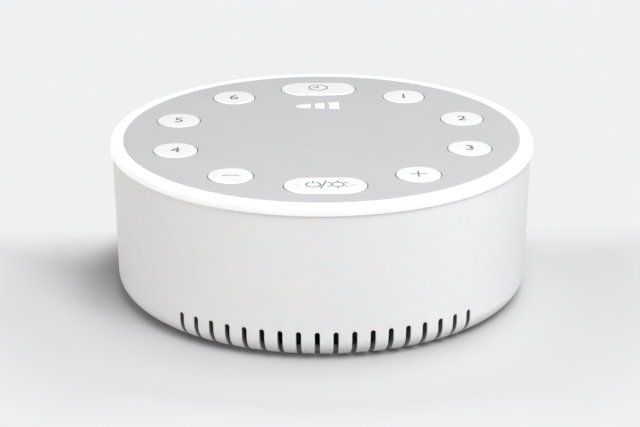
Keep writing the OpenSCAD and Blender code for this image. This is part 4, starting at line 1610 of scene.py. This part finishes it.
@dataclass
class KeyCaps:
    """The ten keys.

    Attributes:
        materials: The object's materials.
        radius: Radius of a round key and of a long key's ends.
        long: Length of a long key.
        flange: Width of the flange under the panel.
        flange_thick: Thickness of the flange.
        flange_gap: Gap between the flange and the panel.
        edge: Rounding of a key's top edge.
        crown: Height of the middle over the edge's end.
        stem: Radius of the stem.
        ink: Height kept free for the printed mark.
    """

    materials: Materials
    radius: float = 6.6 * MM
    long: float = 24.1 * MM
    flange: float = 0.8 * MM
    flange_thick: float = 1.0 * MM
    flange_gap: float = 0.1 * MM
    edge: float = 0.35 * MM
    crown: float = 0.03 * MM
    stem: float = 2 * MM
    ink: float = 0.02 * MM

    def centre(self, spec: KeySpec) -> Point:
        """Middle of a key, from its node."""
        low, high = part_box(spec.node)
        return (low.x + high.x) / 2, (low.y + high.y) / 2

    def half_straight(self, shape: Shape) -> float:
        """Half of the straight stretch of a key's outline."""
        return self.long / 2 - self.radius if shape is Shape.LONG else 0

    def top(self, spec: KeySpec) -> float:
        """Height of a key's face under its ink."""
        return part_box(spec.node)[1].z - self.ink

    def cap(self, spec: KeySpec) -> bpy.types.Object:
        """Builds one key.

        Args:
            spec: The key.

        Returns:
            The key, in place.
        """
        centre, half = self.centre(spec), self.half_straight(spec.shape)
        low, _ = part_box(spec.node)
        flange_z = panel_underside() - self.flange_gap - self.flange_thick
        flange_top = flange_z + self.flange_thick
        top = self.top(spec)
        soft = 0.15 * MM
        work = Sheetwork()
        steps: list[Spot] = [
            (0, self.stem - soft, low.z), (0, self.stem, low.z + soft), (0, self.stem, flange_z),
            (half, self.radius + self.flange - soft, flange_z),
            (half, self.radius + self.flange, flange_z + soft),
            (half, self.radius + self.flange, flange_top - soft),
            (half, self.radius + self.flange - soft, flange_top),
            (half, self.radius, flange_top),
        ]
        for k in range(7):
            a = math.radians(15 * k)
            steps.append((half, self.radius - self.edge * (1 - math.cos(a)),
                          top - self.crown - self.edge * (1 - math.sin(a))))
        for share in (0.85, 0.6, 0.3, 0.08):
            steps.append((half, self.radius * share, top - self.crown * share ** 2))
        work.loft([raised(stadium(h, r), z, centre) for h, r, z in steps])
        return work.piece(spec.node + "_cap", self.materials.of("white_key"))

    def build(self) -> None:
        """Makes the keys, each on its own body."""
        for spec in KEYS:
            settle(self.cap(spec), spec.node, spec.node)


@dataclass
class KeyMarks:
    """The marks printed on the keys.

    Attributes:
        materials: The object's materials.
        keys: The keys that they are printed on.
        thick: Thickness of the ink, half of it in the key's face.
        line: Width of a drawn line.
        figure: Height of a printed figure.
        sum_reach: Half of the length of a plus's or minus's lines.
        work: The mark that is being drawn.
        low: Height of its underside.
        high: Height of its face.
    """

    materials: Materials
    keys: KeyCaps
    thick: float = 0.04 * MM
    line: float = 0.42 * MM
    figure: float = 4.6 * MM
    sum_reach: float = 2.35 * MM
    work: Sheetwork = field(default_factory=Sheetwork)
    low: float = 0.0
    high: float = 0.0

    def slab(self, outline: Outline) -> None:
        """Adds a flat outline of ink."""
        self.work.loft([raised(outline, self.low), raised(outline, self.high)])

    def stroke(self, start: Point, end: Point, width: float | None = None) -> None:
        """Draws a straight line with round ends.

        Args:
            start: One end.
            end: The other end.
            width: Its width; the usual one if left out.
        """
        half = (width or self.line) / 2
        angle = math.degrees(math.atan2(end[1] - start[1], end[0] - start[0]))
        self.slab(arc_points(end, half, angle - 90, angle + 90, 8)
                  + arc_points(start, half, angle + 90, angle + 270, 8))

    def bow(self, centre: Point, radius: float, start: float, end: float,
            width: float | None = None) -> None:
        """Draws part of a circle with round ends.

        Args:
            centre: Centre of the circle.
            radius: Radius of the line's middle.
            start: First angle in degrees.
            end: Last angle in degrees.
            width: The line's width; the usual one if left out.
        """
        half = (width or self.line) / 2
        ends = [(centre[0] + radius * math.cos(math.radians(a)),
                 centre[1] + radius * math.sin(math.radians(a))) for a in (start, end)]
        self.slab(arc_points(centre, radius + half, start, end, 40)
                  + arc_points(ends[1], half, end, end + 180, 6)[1:-1]
                  + arc_points(centre, radius - half, end, start, 40)
                  + arc_points(ends[0], half, start + 180, start + 360, 6)[1:-1])

    def hoop(self, centre: Point, radius: float) -> None:
        """Draws a whole circle."""
        half = self.line / 2
        profile = rectangle((radius - half, self.low), (radius + half, self.high), 0)
        self.work.revolve(profile, 56, centre)

    def power_marks(self, centre: Point) -> None:
        """Draws the power sign, the slash and the lamp sign."""
        x, y = centre
        power, lamp = (x - 3.5 * MM, y + 0.3 * MM), (x + 3.6 * MM, y + 0.3 * MM)
        self.bow(power, 2.1 * MM, 122, 418)
        self.stroke((power[0], power[1] + 1.3 * MM), (power[0], power[1] + 2.7 * MM))
        self.stroke((x - 1.4 * MM, y - 2.85 * MM), (x + 0.3 * MM, y + 3.3 * MM))
        self.hoop(lamp, 1.8 * MM)
        for turn in (90, 146, 214, 270, 326, 34):
            a = math.radians(turn)
            near, far = (2.3, 3.2) if turn in (90, 270) else (2.5, 3.4)
            self.stroke((lamp[0] + near * MM * math.cos(a), lamp[1] + near * MM * math.sin(a)),
                        (lamp[0] + far * MM * math.cos(a), lamp[1] + far * MM * math.sin(a)),
                        0.36 * MM)

    def tick_marks(self, centre: Point) -> None:
        """Draws the two faint ticks beside the power and lamp signs."""
        for x in (-8.25 * MM, 8.2 * MM):
            self.bow((centre[0] + x, centre[1] + 1.2 * MM), 1.15 * MM, 205, 320, 0.3 * MM)

    def timer_marks(self, centre: Point) -> None:
        """Draws the clock."""
        x, y = centre[0], centre[1] + 0.9 * MM
        self.hoop((x, y), 2.95 * MM)
        self.stroke((x - 0.1 * MM, y - 0.1 * MM), (x - 0.1 * MM, y + 1.6 * MM))
        self.stroke((x - 0.1 * MM, y - 0.1 * MM), (x - 1.5 * MM, y - 0.1 * MM))

    def minus_marks(self, centre: Point) -> None:
        """Draws a minus."""
        x, y = centre
        self.stroke((x - self.sum_reach, y), (x + self.sum_reach, y))

    def plus_marks(self, centre: Point) -> None:
        """Draws a plus."""
        x, y = centre
        self.minus_marks(centre)
        self.stroke((x, y - self.sum_reach), (x, y + self.sum_reach))

    def figure_piece(self, spec: KeySpec, text: str) -> bpy.types.Object:
        """Makes a printed figure.

        Args:
            spec: The key that it is on.
            text: The figure.

        Returns:
            The piece, in place.
        """
        curve = bpy.data.curves.new(spec.node + "_mark", "FONT")
        curve.body = text
        curve.size = self.figure / 0.72
        curve.align_x, curve.align_y = "CENTER", "CENTER"
        curve.extrude = self.thick / 2
        curve.resolution_u = 6
        drawn = added("drawn_figure", curve)
        mesh = evaluated_mesh(drawn)
        bpy.data.objects.remove(drawn)
        piece = added(spec.node + "_mark", mesh)
        centre = self.keys.centre(spec)
        corners = [v.co for v in mesh.vertices]
        middle = Vector(((min(c.x for c in corners) + max(c.x for c in corners)) / 2,
                         (min(c.y for c in corners) + max(c.y for c in corners)) / 2, 0))
        mesh.transform(Matrix.Translation(Vector((*centre, self.keys.top(spec))) - middle))
        mesh.materials.clear()
        mesh.materials.append(self.materials.of("key_ink"))
        tidy_mesh(piece)
        return piece

    def drawn(self, spec: KeySpec, name: str, slot: str,
              draw: Callable[[Point], None]) -> bpy.types.Object:
        """Makes the piece of one drawn mark.

        Args:
            spec: The key that it is on.
            name: Name of the piece.
            slot: Finish of its ink.
            draw: Method that draws it round the key's middle.

        Returns:
            The piece, in place.
        """
        self.work = Sheetwork()
        self.low = self.keys.top(spec) - self.thick / 2
        self.high = self.low + self.thick
        draw(self.keys.centre(spec))
        return self.work.piece(name, self.materials.of(slot))

    def build(self) -> None:
        """Prints every key."""
        drawings = {
            "key_power": self.power_marks,
            "key_timer": self.timer_marks,
            "key_volume_up": self.plus_marks,
            "key_volume_down": self.minus_marks,
        }
        for spec in KEYS:
            name = spec.node + "_mark"
            if spec.node in drawings:
                pieces = [self.drawn(spec, name, "key_ink", drawings[spec.node])]
            else:
                pieces = [self.figure_piece(spec, spec.node[-1])]
            if spec.node == "key_power":
                pieces.append(self.drawn(spec, "key_power_ticks", "faint_ink", self.tick_marks))
            for piece in pieces:
                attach(piece, spec.node)
                log.info("%s: %d faces", piece.name, len(piece.data.polygons))


@dataclass
class KeyPanel:
    """The light grey key panel with its posts.

    Attributes:
        materials: The object's materials.
        keys: The keys that pass through it.
        lights: The level lights that show in it.
        key_gap: Gap round a key.
        light_gap: Gap round a light.
        edge: Rounding of its edges.
        long_radius: Radius of a long screw post.
        long_bore: Radius of its bore.
        grip: Depth of that bore.
        short_circle: Distance of the board posts from the middle.
        short_radius: Radius of a board post.
        short_bore: Radius of its bore.
        short_roof: Distance that its bore stops short of the panel.
        post_edge: Rounding of a post's end.
    """

    materials: Materials
    keys: KeyCaps
    lights: LevelLights
    key_gap: float = 0.3 * MM
    light_gap: float = 0.05 * MM
    edge: float = 0.15 * MM
    long_radius: float = 3.2 * MM
    long_bore: float = 1.35 * MM
    grip: float = 9 * MM
    short_circle: float = 30 * MM
    short_radius: float = 2.4 * MM
    short_bore: float = 0.85 * MM
    short_roof: float = 0.2 * MM
    post_edge: float = 0.15 * MM

    def holes(self) -> list[Outline]:
        """Outlines of all the openings, in place."""
        outlines = []
        for spec in KEYS:
            x, y = self.keys.centre(spec)
            outline = stadium(self.keys.half_straight(spec.shape), self.keys.radius + self.key_gap)
            outlines.append([(x + px, y + py) for px, py in outline])
        return outlines + [grown(outline, self.light_gap) for outline in self.lights.outlines()]

    def plate(self, low_z: float, top: float, radius: float) -> bpy.types.Object:
        """Builds the plate with its openings.

        Args:
            low_z: Height of its underside.
            top: Height of its face.
            radius: Its radius.

        Returns:
            The plate.
        """
        walls = tuple(soft_edge(top, -1, self.edge) + [(0.0, low_z)])
        openings = [Opening(hole, walls) for hole in self.holes()]
        return pierced_plate("key_panel", circle_points((0, 0), radius, 240), list(walls),
                             openings, self.materials.of("grey_panel"))

    def post_cell(self, low: float, high: float, circle: float, radius: float, bore: float,
                  depth: float) -> bpy.types.Object:
        """Builds one post with its blind bore, at the front.

        Args:
            low: Height of its end.
            high: Height of its root.
            circle: Distance from the middle of the panel.
            radius: Its radius.
            bore: Radius of its bore.
            depth: Depth of the bore.

        Returns:
            The post.
        """
        work = Sheetwork()
        soft = self.post_edge
        corners = [(0, low + depth, 0), (bore, low + depth, 0), (bore, low, soft / 2),
                   (radius, low, soft), (radius, high, 0), (0, high, 0)]
        work.revolve(softened(corners), 40, (0, -circle))
        return work.piece("post_cell", self.materials.of("grey_panel"))

    def build(self) -> None:
        """Makes the panel and its posts."""
        low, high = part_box("fascia")
        panel_low = panel_underside()
        grey = self.materials.of("grey_panel")
        plate = self.plate(panel_low, high.z, high.x)
        board_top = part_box("control_board")[1].z
        long_posts = in_pairs(
            ("panel_posts", "panel_posts_side"), grey,
            lambda: self.post_cell(low.z, panel_low, SCREW_CIRCLE, self.long_radius,
                                   self.long_bore, self.grip))
        cell = self.post_cell(board_top, panel_low, self.short_circle, self.short_radius,
                              self.short_bore, panel_low - board_top - self.short_roof)
        short_posts = TurnedCopies(4, 90, 45).onto(empty_piece("board_posts", grey), cell)
        settle(plate, "fascia")
        for posts in (*long_posts, short_posts):
            settle(posts)


@dataclass
class Base:
    """The base cover, its long screws and its rubber feet.

    Attributes:
        materials: The object's materials.
        edge: Rounding of the cover's edges.
        foot_circle: Distance of the feet from the middle.
        foot_radius: Radius of a foot.
        foot_seat: Depth of a foot's seat.
        foot_edge: Rounding of its edge.
        seat_gap: Gap round a foot in its seat.
        shank_radius: Radius of a screw's shank.
        hole_radius: Radius of its hole.
        head_radius: Radius of its head.
        head_thick: Height of the head.
        head_gap: Gap round it.
        head_sink: Depth of its face in the cover.
        head_round: Rounding of the head.
        recess: Reach, half width and depth of its crossed recess, as shares of the head.
        tip: Length of the screw's tip.
        overlap: How far the shank runs into the head.
        label: Length, width and depth of the blank label seat.
        label_corner: Rounding of its corners.
    """

    materials: Materials
    edge: float = 0.2 * MM
    foot_circle: float = 46 * MM
    foot_radius: float = 5 * MM
    foot_edge: float = 0.45 * MM
    foot_seat: float = 0.8 * MM
    seat_gap: float = 0.1 * MM
    shank_radius: float = 1.3 * MM
    hole_radius: float = 1.6 * MM
    head_radius: float = 2.6 * MM
    head_thick: float = 1.3 * MM
    head_gap: float = 0.3 * MM
    head_sink: float = 0.1 * MM
    head_round: float = 0.45 * MM
    recess: tuple[float, float, float] = (0.6, 0.15, 0.55)
    tip: float = 0.6 * MM
    overlap: float = 0.2 * MM
    label: Spot = (34 * MM, 20 * MM, 0.3 * MM)
    label_corner: float = 1.5 * MM

    def cover(self) -> bpy.types.Object:
        """Builds the cover with its wells."""
        low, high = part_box("base_cover")
        soft = soft_edge(low.z, 1, self.edge)
        head_z = low.z + self.head_sink + self.head_thick
        narrow = self.hole_radius - self.head_radius - self.head_gap
        well = tuple(soft + [(0.0, head_z), (narrow, head_z), (narrow, high.z)])
        seat = tuple(soft + [(0.0, low.z + self.foot_seat)])
        openings = [
            Opening(circle_points(around(SCREW_CIRCLE, math.radians(turn)),
                                  self.head_radius + self.head_gap, 48), well)
            for turn in SCREW_TURNS
        ]
        openings += [
            Opening(circle_points(around(self.foot_circle, math.radians(90 * k)),
                                  self.foot_radius + self.seat_gap, 64), seat, False)
            for k in range(4)
        ]
        half_l, half_w = self.label[0] / 2, self.label[1] / 2
        label = rectangle((-half_l, -half_w), (half_l, half_w), self.label_corner, 8)
        soft_low = soft_edge(low.z, 1, 0.1 * MM)
        openings.append(Opening(label, tuple(soft_low + [(0.0, low.z + self.label[2])]), False))
        rim = soft + [(growth, high.z - (z - low.z)) for growth, z in reversed(soft)]
        return pierced_plate("base_plate", circle_points((0, 0), high.x, 240), rim, openings,
                             self.materials.of("white_base"))

    def cross(self, reach: float, half: float) -> Outline:
        """Outline of a crossed recess, round the origin."""
        arm = [(half, -half), (reach, -half), (reach, half)]
        quarters = []
        for k in range(4):
            cos, sin = round(math.cos(k * TAU / 4)), round(math.sin(k * TAU / 4))
            quarters += [(x * cos - y * sin, x * sin + y * cos) for x, y in arm]
        return quarters

    def screw_cell(self) -> bpy.types.Object:
        """Builds one long screw, at the front."""
        low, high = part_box("base_screws")
        head_z = low.z + self.head_thick
        steel = self.materials.of("base_screw")
        reach, half, depth = self.recess
        depth *= self.head_thick
        recess = Opening(self.cross(self.head_radius * reach, self.head_radius * half),
                         ((0.03 * MM, low.z), (0.0, low.z + 0.03 * MM),
                          (-0.08 * MM, low.z + depth)), False)
        crown = soft_edge(low.z, 1, self.head_round) + [(0.0, head_z)]
        head = pierced_plate("screw_head", circle_points((0, 0), self.head_radius, 40), crown,
                             [recess], steel, (0, -SCREW_CIRCLE))
        work = Sheetwork()
        radius = self.shank_radius
        work.loft([
            raised(circle_points((0, -SCREW_CIRCLE), r, 32), z) for r, z in
            [(radius, head_z - self.overlap), (radius, high.z - self.tip), (radius * 0.5, high.z)]
        ])
        shank = work.piece("screw_shank", steel)
        return joined("screw_cell", [head, shank])

    def foot_cell(self) -> bpy.types.Object:
        """Builds one rubber foot, at the front."""
        low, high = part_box("feet")
        work = Sheetwork()
        corners = [(0, low.z, 0), (self.foot_radius, low.z, self.foot_edge),
                   (self.foot_radius, high.z, 0.1 * MM), (0, high.z, 0)]
        work.revolve(softened(corners), 64, (0, -self.foot_circle))
        return work.piece("foot_cell", self.materials.of("grey_rubber"))

    def build(self) -> None:
        """Makes the cover, the screws and the feet."""
        settle(self.cover(), "base_cover")
        feet = empty_piece("rubber_feet", self.materials.of("grey_rubber"))
        settle(TurnedCopies(4, 90, 0).onto(feet, self.foot_cell()), "feet")
        for screws in in_pairs(("long_screws", "long_screws_side"),
                               self.materials.of("base_screw"), self.screw_cell):
            settle(screws, "base_screws")


@dataclass
class RubberDomes:
    """The rubber mat under the keys and the dome under each of them.

    Attributes:
        materials: The object's materials.
        keys: The keys that press the domes.
        sheet: Thickness of the mat.
        inner: Radius of its inner edge.
        post_hole: Radius of the holes round the screw posts.
        foot: Radius of a dome's foot.
        crown: Radius of its flat top.
        skin: Thickness of its top.
        wall: Thickness of its side.
        keep: Share of its height that is left when its key is pressed; not used.
    """

    materials: Materials
    keys: KeyCaps
    sheet: float = 0.8 * MM
    inner: float = 37.2 * MM
    post_hole: float = 3.6 * MM
    foot: float = 3.6 * MM
    crown: float = 2.4 * MM
    skin: float = 0.7 * MM
    wall: float = 0.2 * MM
    keep: float = 0.46

    def mat(self, low_z: float, radius: float) -> bpy.types.Object:
        """Builds the flat mat with its holes, from its underside up."""
        soft = soft_edge(low_z, 1, 0.1 * MM)
        rim = soft + [(growth, 2 * low_z + self.sheet - z) for growth, z in reversed(soft)]
        round_holes = [((0.0, 0.0), self.inner, 180)]
        round_holes += [(around(SCREW_CIRCLE, math.radians(turn)), self.post_hole, 40)
                        for turn in SCREW_TURNS]
        round_holes += [(self.keys.centre(spec), self.foot - 2 * self.wall, 40) for spec in KEYS]
        openings = [Opening(circle_points(*hole), tuple(rim)) for hole in round_holes]
        return pierced_plate("key_mat", circle_points((0, 0), radius, 180), rim, openings,
                             self.materials.of("silicone_mat"))

    def dome(self, spec: KeySpec, low_z: float, high_z: float) -> bpy.types.Object:
        """Builds one dome on the mat's face."""
        work = Sheetwork()
        corners = [(0, high_z, 0), (self.crown, high_z, 0.2 * MM), (self.foot, low_z, 0),
                   (self.foot - self.wall, low_z, 0),
                   (self.crown - self.wall, high_z - self.skin, 0.1 * MM),
                   (0, high_z - self.skin, 0)]
        work.revolve(softened(corners), 40, self.keys.centre(spec))
        return work.piece(spec.node.replace("key", "dome"), self.materials.of("silicone_mat"))

    def build(self) -> None:
        """Makes the mat and its domes."""
        low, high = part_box("dome_mat")
        face = low.z + self.sheet
        pieces = [self.mat(low.z, high.x)]
        for spec in KEYS:
            dome = self.dome(spec, face, high.z)
            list(self.keys.centre(spec))
            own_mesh(dome)
            pieces.append(dome)
        for piece in pieces:
            settle(piece, "dome_mat")


@dataclass
class ConeHangers:
    """The roll and the spider that carry the speaker's cone.

    Attributes:
        materials: The object's materials.
        sectors: Number of pieces that each ring is made of.
        columns: Steps round each of them.
        middle: Distance of the roll's middle from the axis.
        roll: Radius of the roll.
        thick: Thickness of both rings.
        waves: Number of the spider's waves.
        wave: Height of a wave.
        neck: Radius of the spider's inner edge.
        bend: Radius on the spider, clear of the basket's seat, that is given to its ring as the
            still distance.
    """

    materials: Materials
    sectors: int = 12
    columns: int = 6
    middle: float = 22.6 * MM
    roll: float = 1.6 * MM
    thick: float = 0.4 * MM
    waves: int = 4
    wave: float = 0.3 * MM
    neck: float = 7.5 * MM
    bend: float = 9.8 * MM

    def roll_profile(self) -> Outline:
        """Radius and height round the roll and its two lips."""
        _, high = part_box("speaker_surround")
        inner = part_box("speaker_cone")[1].x - 2 * self.thick
        low = high.z - self.thick
        under = arc_points((self.middle, high.z), self.roll, 194, 346, 16)
        over = arc_points((self.middle, high.z), self.roll - self.thick, 360, 180, 16)
        return [(inner, low)] + under + [(high.x, low), (high.x, high.z)] + over + [(inner, high.z)]

    def spider_profile(self) -> Outline:
        """Radius and height round the waved cloth."""
        low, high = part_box("spider")
        steps = 8 * self.waves
        pitch = (high.x - self.neck) / steps
        crests = [(self.neck + k * pitch, low.z + self.wave * (0.5 - math.cos(k * TAU / 8) / 2))
                  for k in range(steps + 1)]
        return crests + [(r, z + self.thick) for r, z in reversed(crests)]

    def ring(self, node: str, slot: str, profile: Outline, still: float, moved: float) -> None:
        """Makes one ring, in sectors.

        Args:
            node: The node that it stands for.
            slot: Its finish.
            profile: Radius and height round its section.
            still: Distance from the axis on the frame's side; not used.
            moved: Distance from the axis on the cone's side; not used.
        """
        step = TAU / self.sectors
        for k in range(self.sectors):
            turn = k * step
            work = Sheetwork()
            turns = [turn + step * (j / self.columns - 0.5) for j in range(self.columns + 1)]
            work.loft([turned(profile, a) for a in turns])
            piece = work.piece(f"{node}_{k + 1}", self.materials.of(slot))
            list(around(still, turn))
            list(around(moved, turn))
            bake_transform(piece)
            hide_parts(node)
        log.info("%s: %d pieces", node, self.sectors)

    def build(self) -> None:
        """Makes both rings."""
        lip = self.roll - self.thick
        still = (self.middle + lip) * math.cos(math.pi / self.sectors)
        self.ring("speaker_surround", "black_rubber", self.roll_profile(), still,
                  self.middle - lip)
        self.ring("spider", "spider_cloth", self.spider_profile(), self.bend, self.neck)


@dataclass
class KeptNodes:
    """The CAD nodes that keep their own shape and only get a material.

    Attributes:
        materials: The object's materials.
    """

    materials: Materials

    def build(self) -> None:
        """Dresses every node that no piece replaces."""
        for part in frame["record"]["subparts"]:
            node = frame["nodes"][part["node"]]
            if node.hide_render:
                continue
            node.data.materials.clear()
            node.data.materials.append(self.materials.of(part["material_slot"]))
            log.info("kept %s", part["node"])


# ---------------------------------------------------------------- studio


@dataclass(frozen=True)
class SoftLamp:
    """One area lamp.

    Attributes:
        name: Its name.
        place: Its position.
        size: Width and height of its face.
        power: Its power in watts.
        tint: Colour of its light.
        aim: The point that it shines at.
    """

    name: str
    place: Spot
    size: Point
    power: float
    tint: Colour = (1.0, 1.0, 1.0)
    aim: Spot = (0.0, 0.0, 0.02)

    def build(self) -> None:
        """Hangs the lamp."""
        data = bpy.data.lights.new(self.name, "AREA")
        data.shape = "RECTANGLE"
        data.size, data.size_y = self.size
        data.energy = self.power
        data.color = self.tint
        lamp = added(self.name, data)
        lamp.location = self.place
        direction = Vector(self.aim) - Vector(self.place)
        lamp.rotation_euler = direction.to_track_quat("-Z", "Y").to_euler()


@dataclass
class Studio:
    """The floor, the lamps, the world and the camera.

    Attributes:
        floor_half: Half of the floor's side.
        floor_colour: Colour of the floor as it is seen.
        bounce: Colour with which it throws light back up.
        backdrop: Colour of the background behind and before the object.
        near: Distances from the middle between which the floor goes over to the backdrop.
        strip_y: Middle of the strip of floor that keeps its own light.
        strip: Distances from that middle between which it goes over to the backdrop.
        far: Distances from the object between which that strip ends as well.
        rear: Distances behind its middle between which the floor goes over, near the object too.
        rear_near: Distances from the object between which it begins to do so.
        camera_place: Position of the camera.
        camera_aim: Direction in which it looks.
        lens: Its focal length in millimetres.
        lamps: The lamps.
    """

    floor_half: float = 2.0
    floor_colour: Colour = srgb(210, 210, 212)
    bounce: Colour = srgb(160, 160, 162)
    backdrop: Colour = srgb(240, 240, 241)
    near: Point = (85 * MM, 105 * MM)
    strip_y: float = -27 * MM
    strip: Point = (25 * MM, 85 * MM)
    far: Point = (72 * MM, 140 * MM)
    rear: Point = (5 * MM, 50 * MM)
    rear_near: Point = (62 * MM, 82 * MM)
    camera_place: Spot = (-0.0152, -0.6439, 0.2636)
    camera_aim: Spot = (0.0214, 0.9363, -0.3506)
    lens: float = 123.75
    lamps: tuple[SoftLamp, ...] = (
        SoftLamp("top_lamp", (0.14, 0.12, 0.93), (0.28, 0.28), 1.5),
        SoftLamp("top_front_lamp", (0.14, -0.22, 0.93), (0.28, 0.28), 1.1),
        SoftLamp("key_lamp", (0.33, -0.32, 0.88), (0.25, 0.25), 0.95),
        SoftLamp("front_lamp", (0.25, -0.6, 0.8), (0.6, 0.5), 8.0),
        SoftLamp("left_lamp", (-0.85, -0.25, 0.1), (0.5, 0.15), 3.55, (1.0, 0.985, 0.95)),
        SoftLamp("low_lamp", (0.6, -0.9, 0.22), (0.7, 0.3), 1.6, (0.98, 0.985, 1.0)),
        SoftLamp("right_lamp", (0.85, -0.2, 0.1), (0.5, 0.15), 1.4, (0.96, 0.97, 1.0)),
    )

    def seen(self, bench: Bench) -> bpy.types.NodeSocket:
        """1 for rays that show the backdrop: camera, glossy and transmission rays."""
        path = bench.add("ShaderNodeLightPath")
        glossy = bench.math("MAXIMUM", path.outputs["Is Glossy Ray"],
                            path.outputs["Is Transmission Ray"])
        return bench.math("MAXIMUM", path.outputs["Is Camera Ray"], glossy)

    def floor(self) -> None:
        """Lays the floor, which goes over to the backdrop away from the object."""
        work = Sheetwork()
        side = self.floor_half
        work.cap(work.loop(raised(rectangle((-side, -side), (side, side), 0), 0)))
        shader = Shader("pale_floor")
        bench = shader.bench
        tone = shader.tone(1.5, self.floor_colour, tuple(c * 0.985 for c in self.floor_colour))
        seen = self.seen(bench)
        shader.drive("Base Color", bench.mix(seen, rgba(self.bounce), tone))
        shader.constant("Roughness", 0.6)
        split = bench.split(shader.position)
        reach = bench.add("ShaderNodeVectorMath", operation="LENGTH")
        bench.feed(reach.inputs[0], shader.position)
        away = bench.math("ABSOLUTE", bench.math("SUBTRACT", split["Y"], self.strip_y))
        plain = bench.math("MULTIPLY", bench.ramp(reach.outputs["Value"], *self.near),
                           bench.ramp(away, *self.strip))
        plain = bench.math("MAXIMUM", plain, bench.ramp(reach.outputs["Value"], *self.far))
        rear = bench.math("MULTIPLY", bench.ramp(reach.outputs["Value"], *self.rear_near),
                          bench.ramp(split["Y"], *self.rear))
        plain = bench.math("MAXIMUM", plain, rear)
        paint = bench.add("ShaderNodeEmission")
        paint.inputs["Color"].default_value = rgba(self.backdrop)
        blend = bench.add("ShaderNodeMixShader")
        bench.feed(blend.inputs[0], bench.math("MULTIPLY", plain, seen))
        bench.feed(blend.inputs[1], shader.skin.outputs[0])
        bench.feed(blend.inputs[2], paint.outputs[0])
        end = shader.material.node_tree.nodes["Material Output"]
        bench.feed(end.inputs["Surface"], blend.outputs[0])
        work.piece("floor", shader.material)

    def world(self) -> None:
        """Hangs the backdrop all round, which gives no light of its own."""
        world = bpy.data.worlds.new("soft_room")
        world.use_nodes = True
        ground = world.node_tree.nodes["Background"]
        ground.inputs["Color"].default_value = rgba(self.backdrop)
        bench = Bench(world.node_tree)
        bench.feed(ground.inputs["Strength"], self.seen(bench))
        bpy.context.scene.world = world

    def camera(self) -> None:
        """Sets up the camera at the picture's viewing angle."""
        data = bpy.data.cameras.new("picture_camera")
        data.lens = self.lens
        data.clip_start, data.clip_end = 0.01, 20
        camera = added("picture_camera", data)
        camera.location = self.camera_place
        camera.rotation_euler = Vector(self.camera_aim).to_track_quat("-Z", "Y").to_euler()
        bpy.context.scene.camera = camera

    def build(self) -> None:
        """Sets up the studio."""
        bpy.context.scene.view_settings.view_transform = "Standard"
        self.camera()
        self.floor()
        self.world()
        for lamp in self.lamps:
            lamp.build()


def main() -> None:
    """Builds the object and its studio."""
    logging.basicConfig(level=logging.INFO, format="%(name)s: %(message)s")
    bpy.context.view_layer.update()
    materials = Materials(FINISHES)
    Studio().build()
    DrumShell(materials).build()
    LightRing(materials).build()
    lights = LevelLights(materials)
    keys = KeyCaps(materials)
    KeyPanel(materials, keys, lights).build()
    lights.build()
    keys.build()
    KeyMarks(materials, keys).build()
    Base(materials).build()
    RubberDomes(materials, keys).build()
    ConeHangers(materials).build()
    KeptNodes(materials).build()


if __name__ == "__main__":
    main()
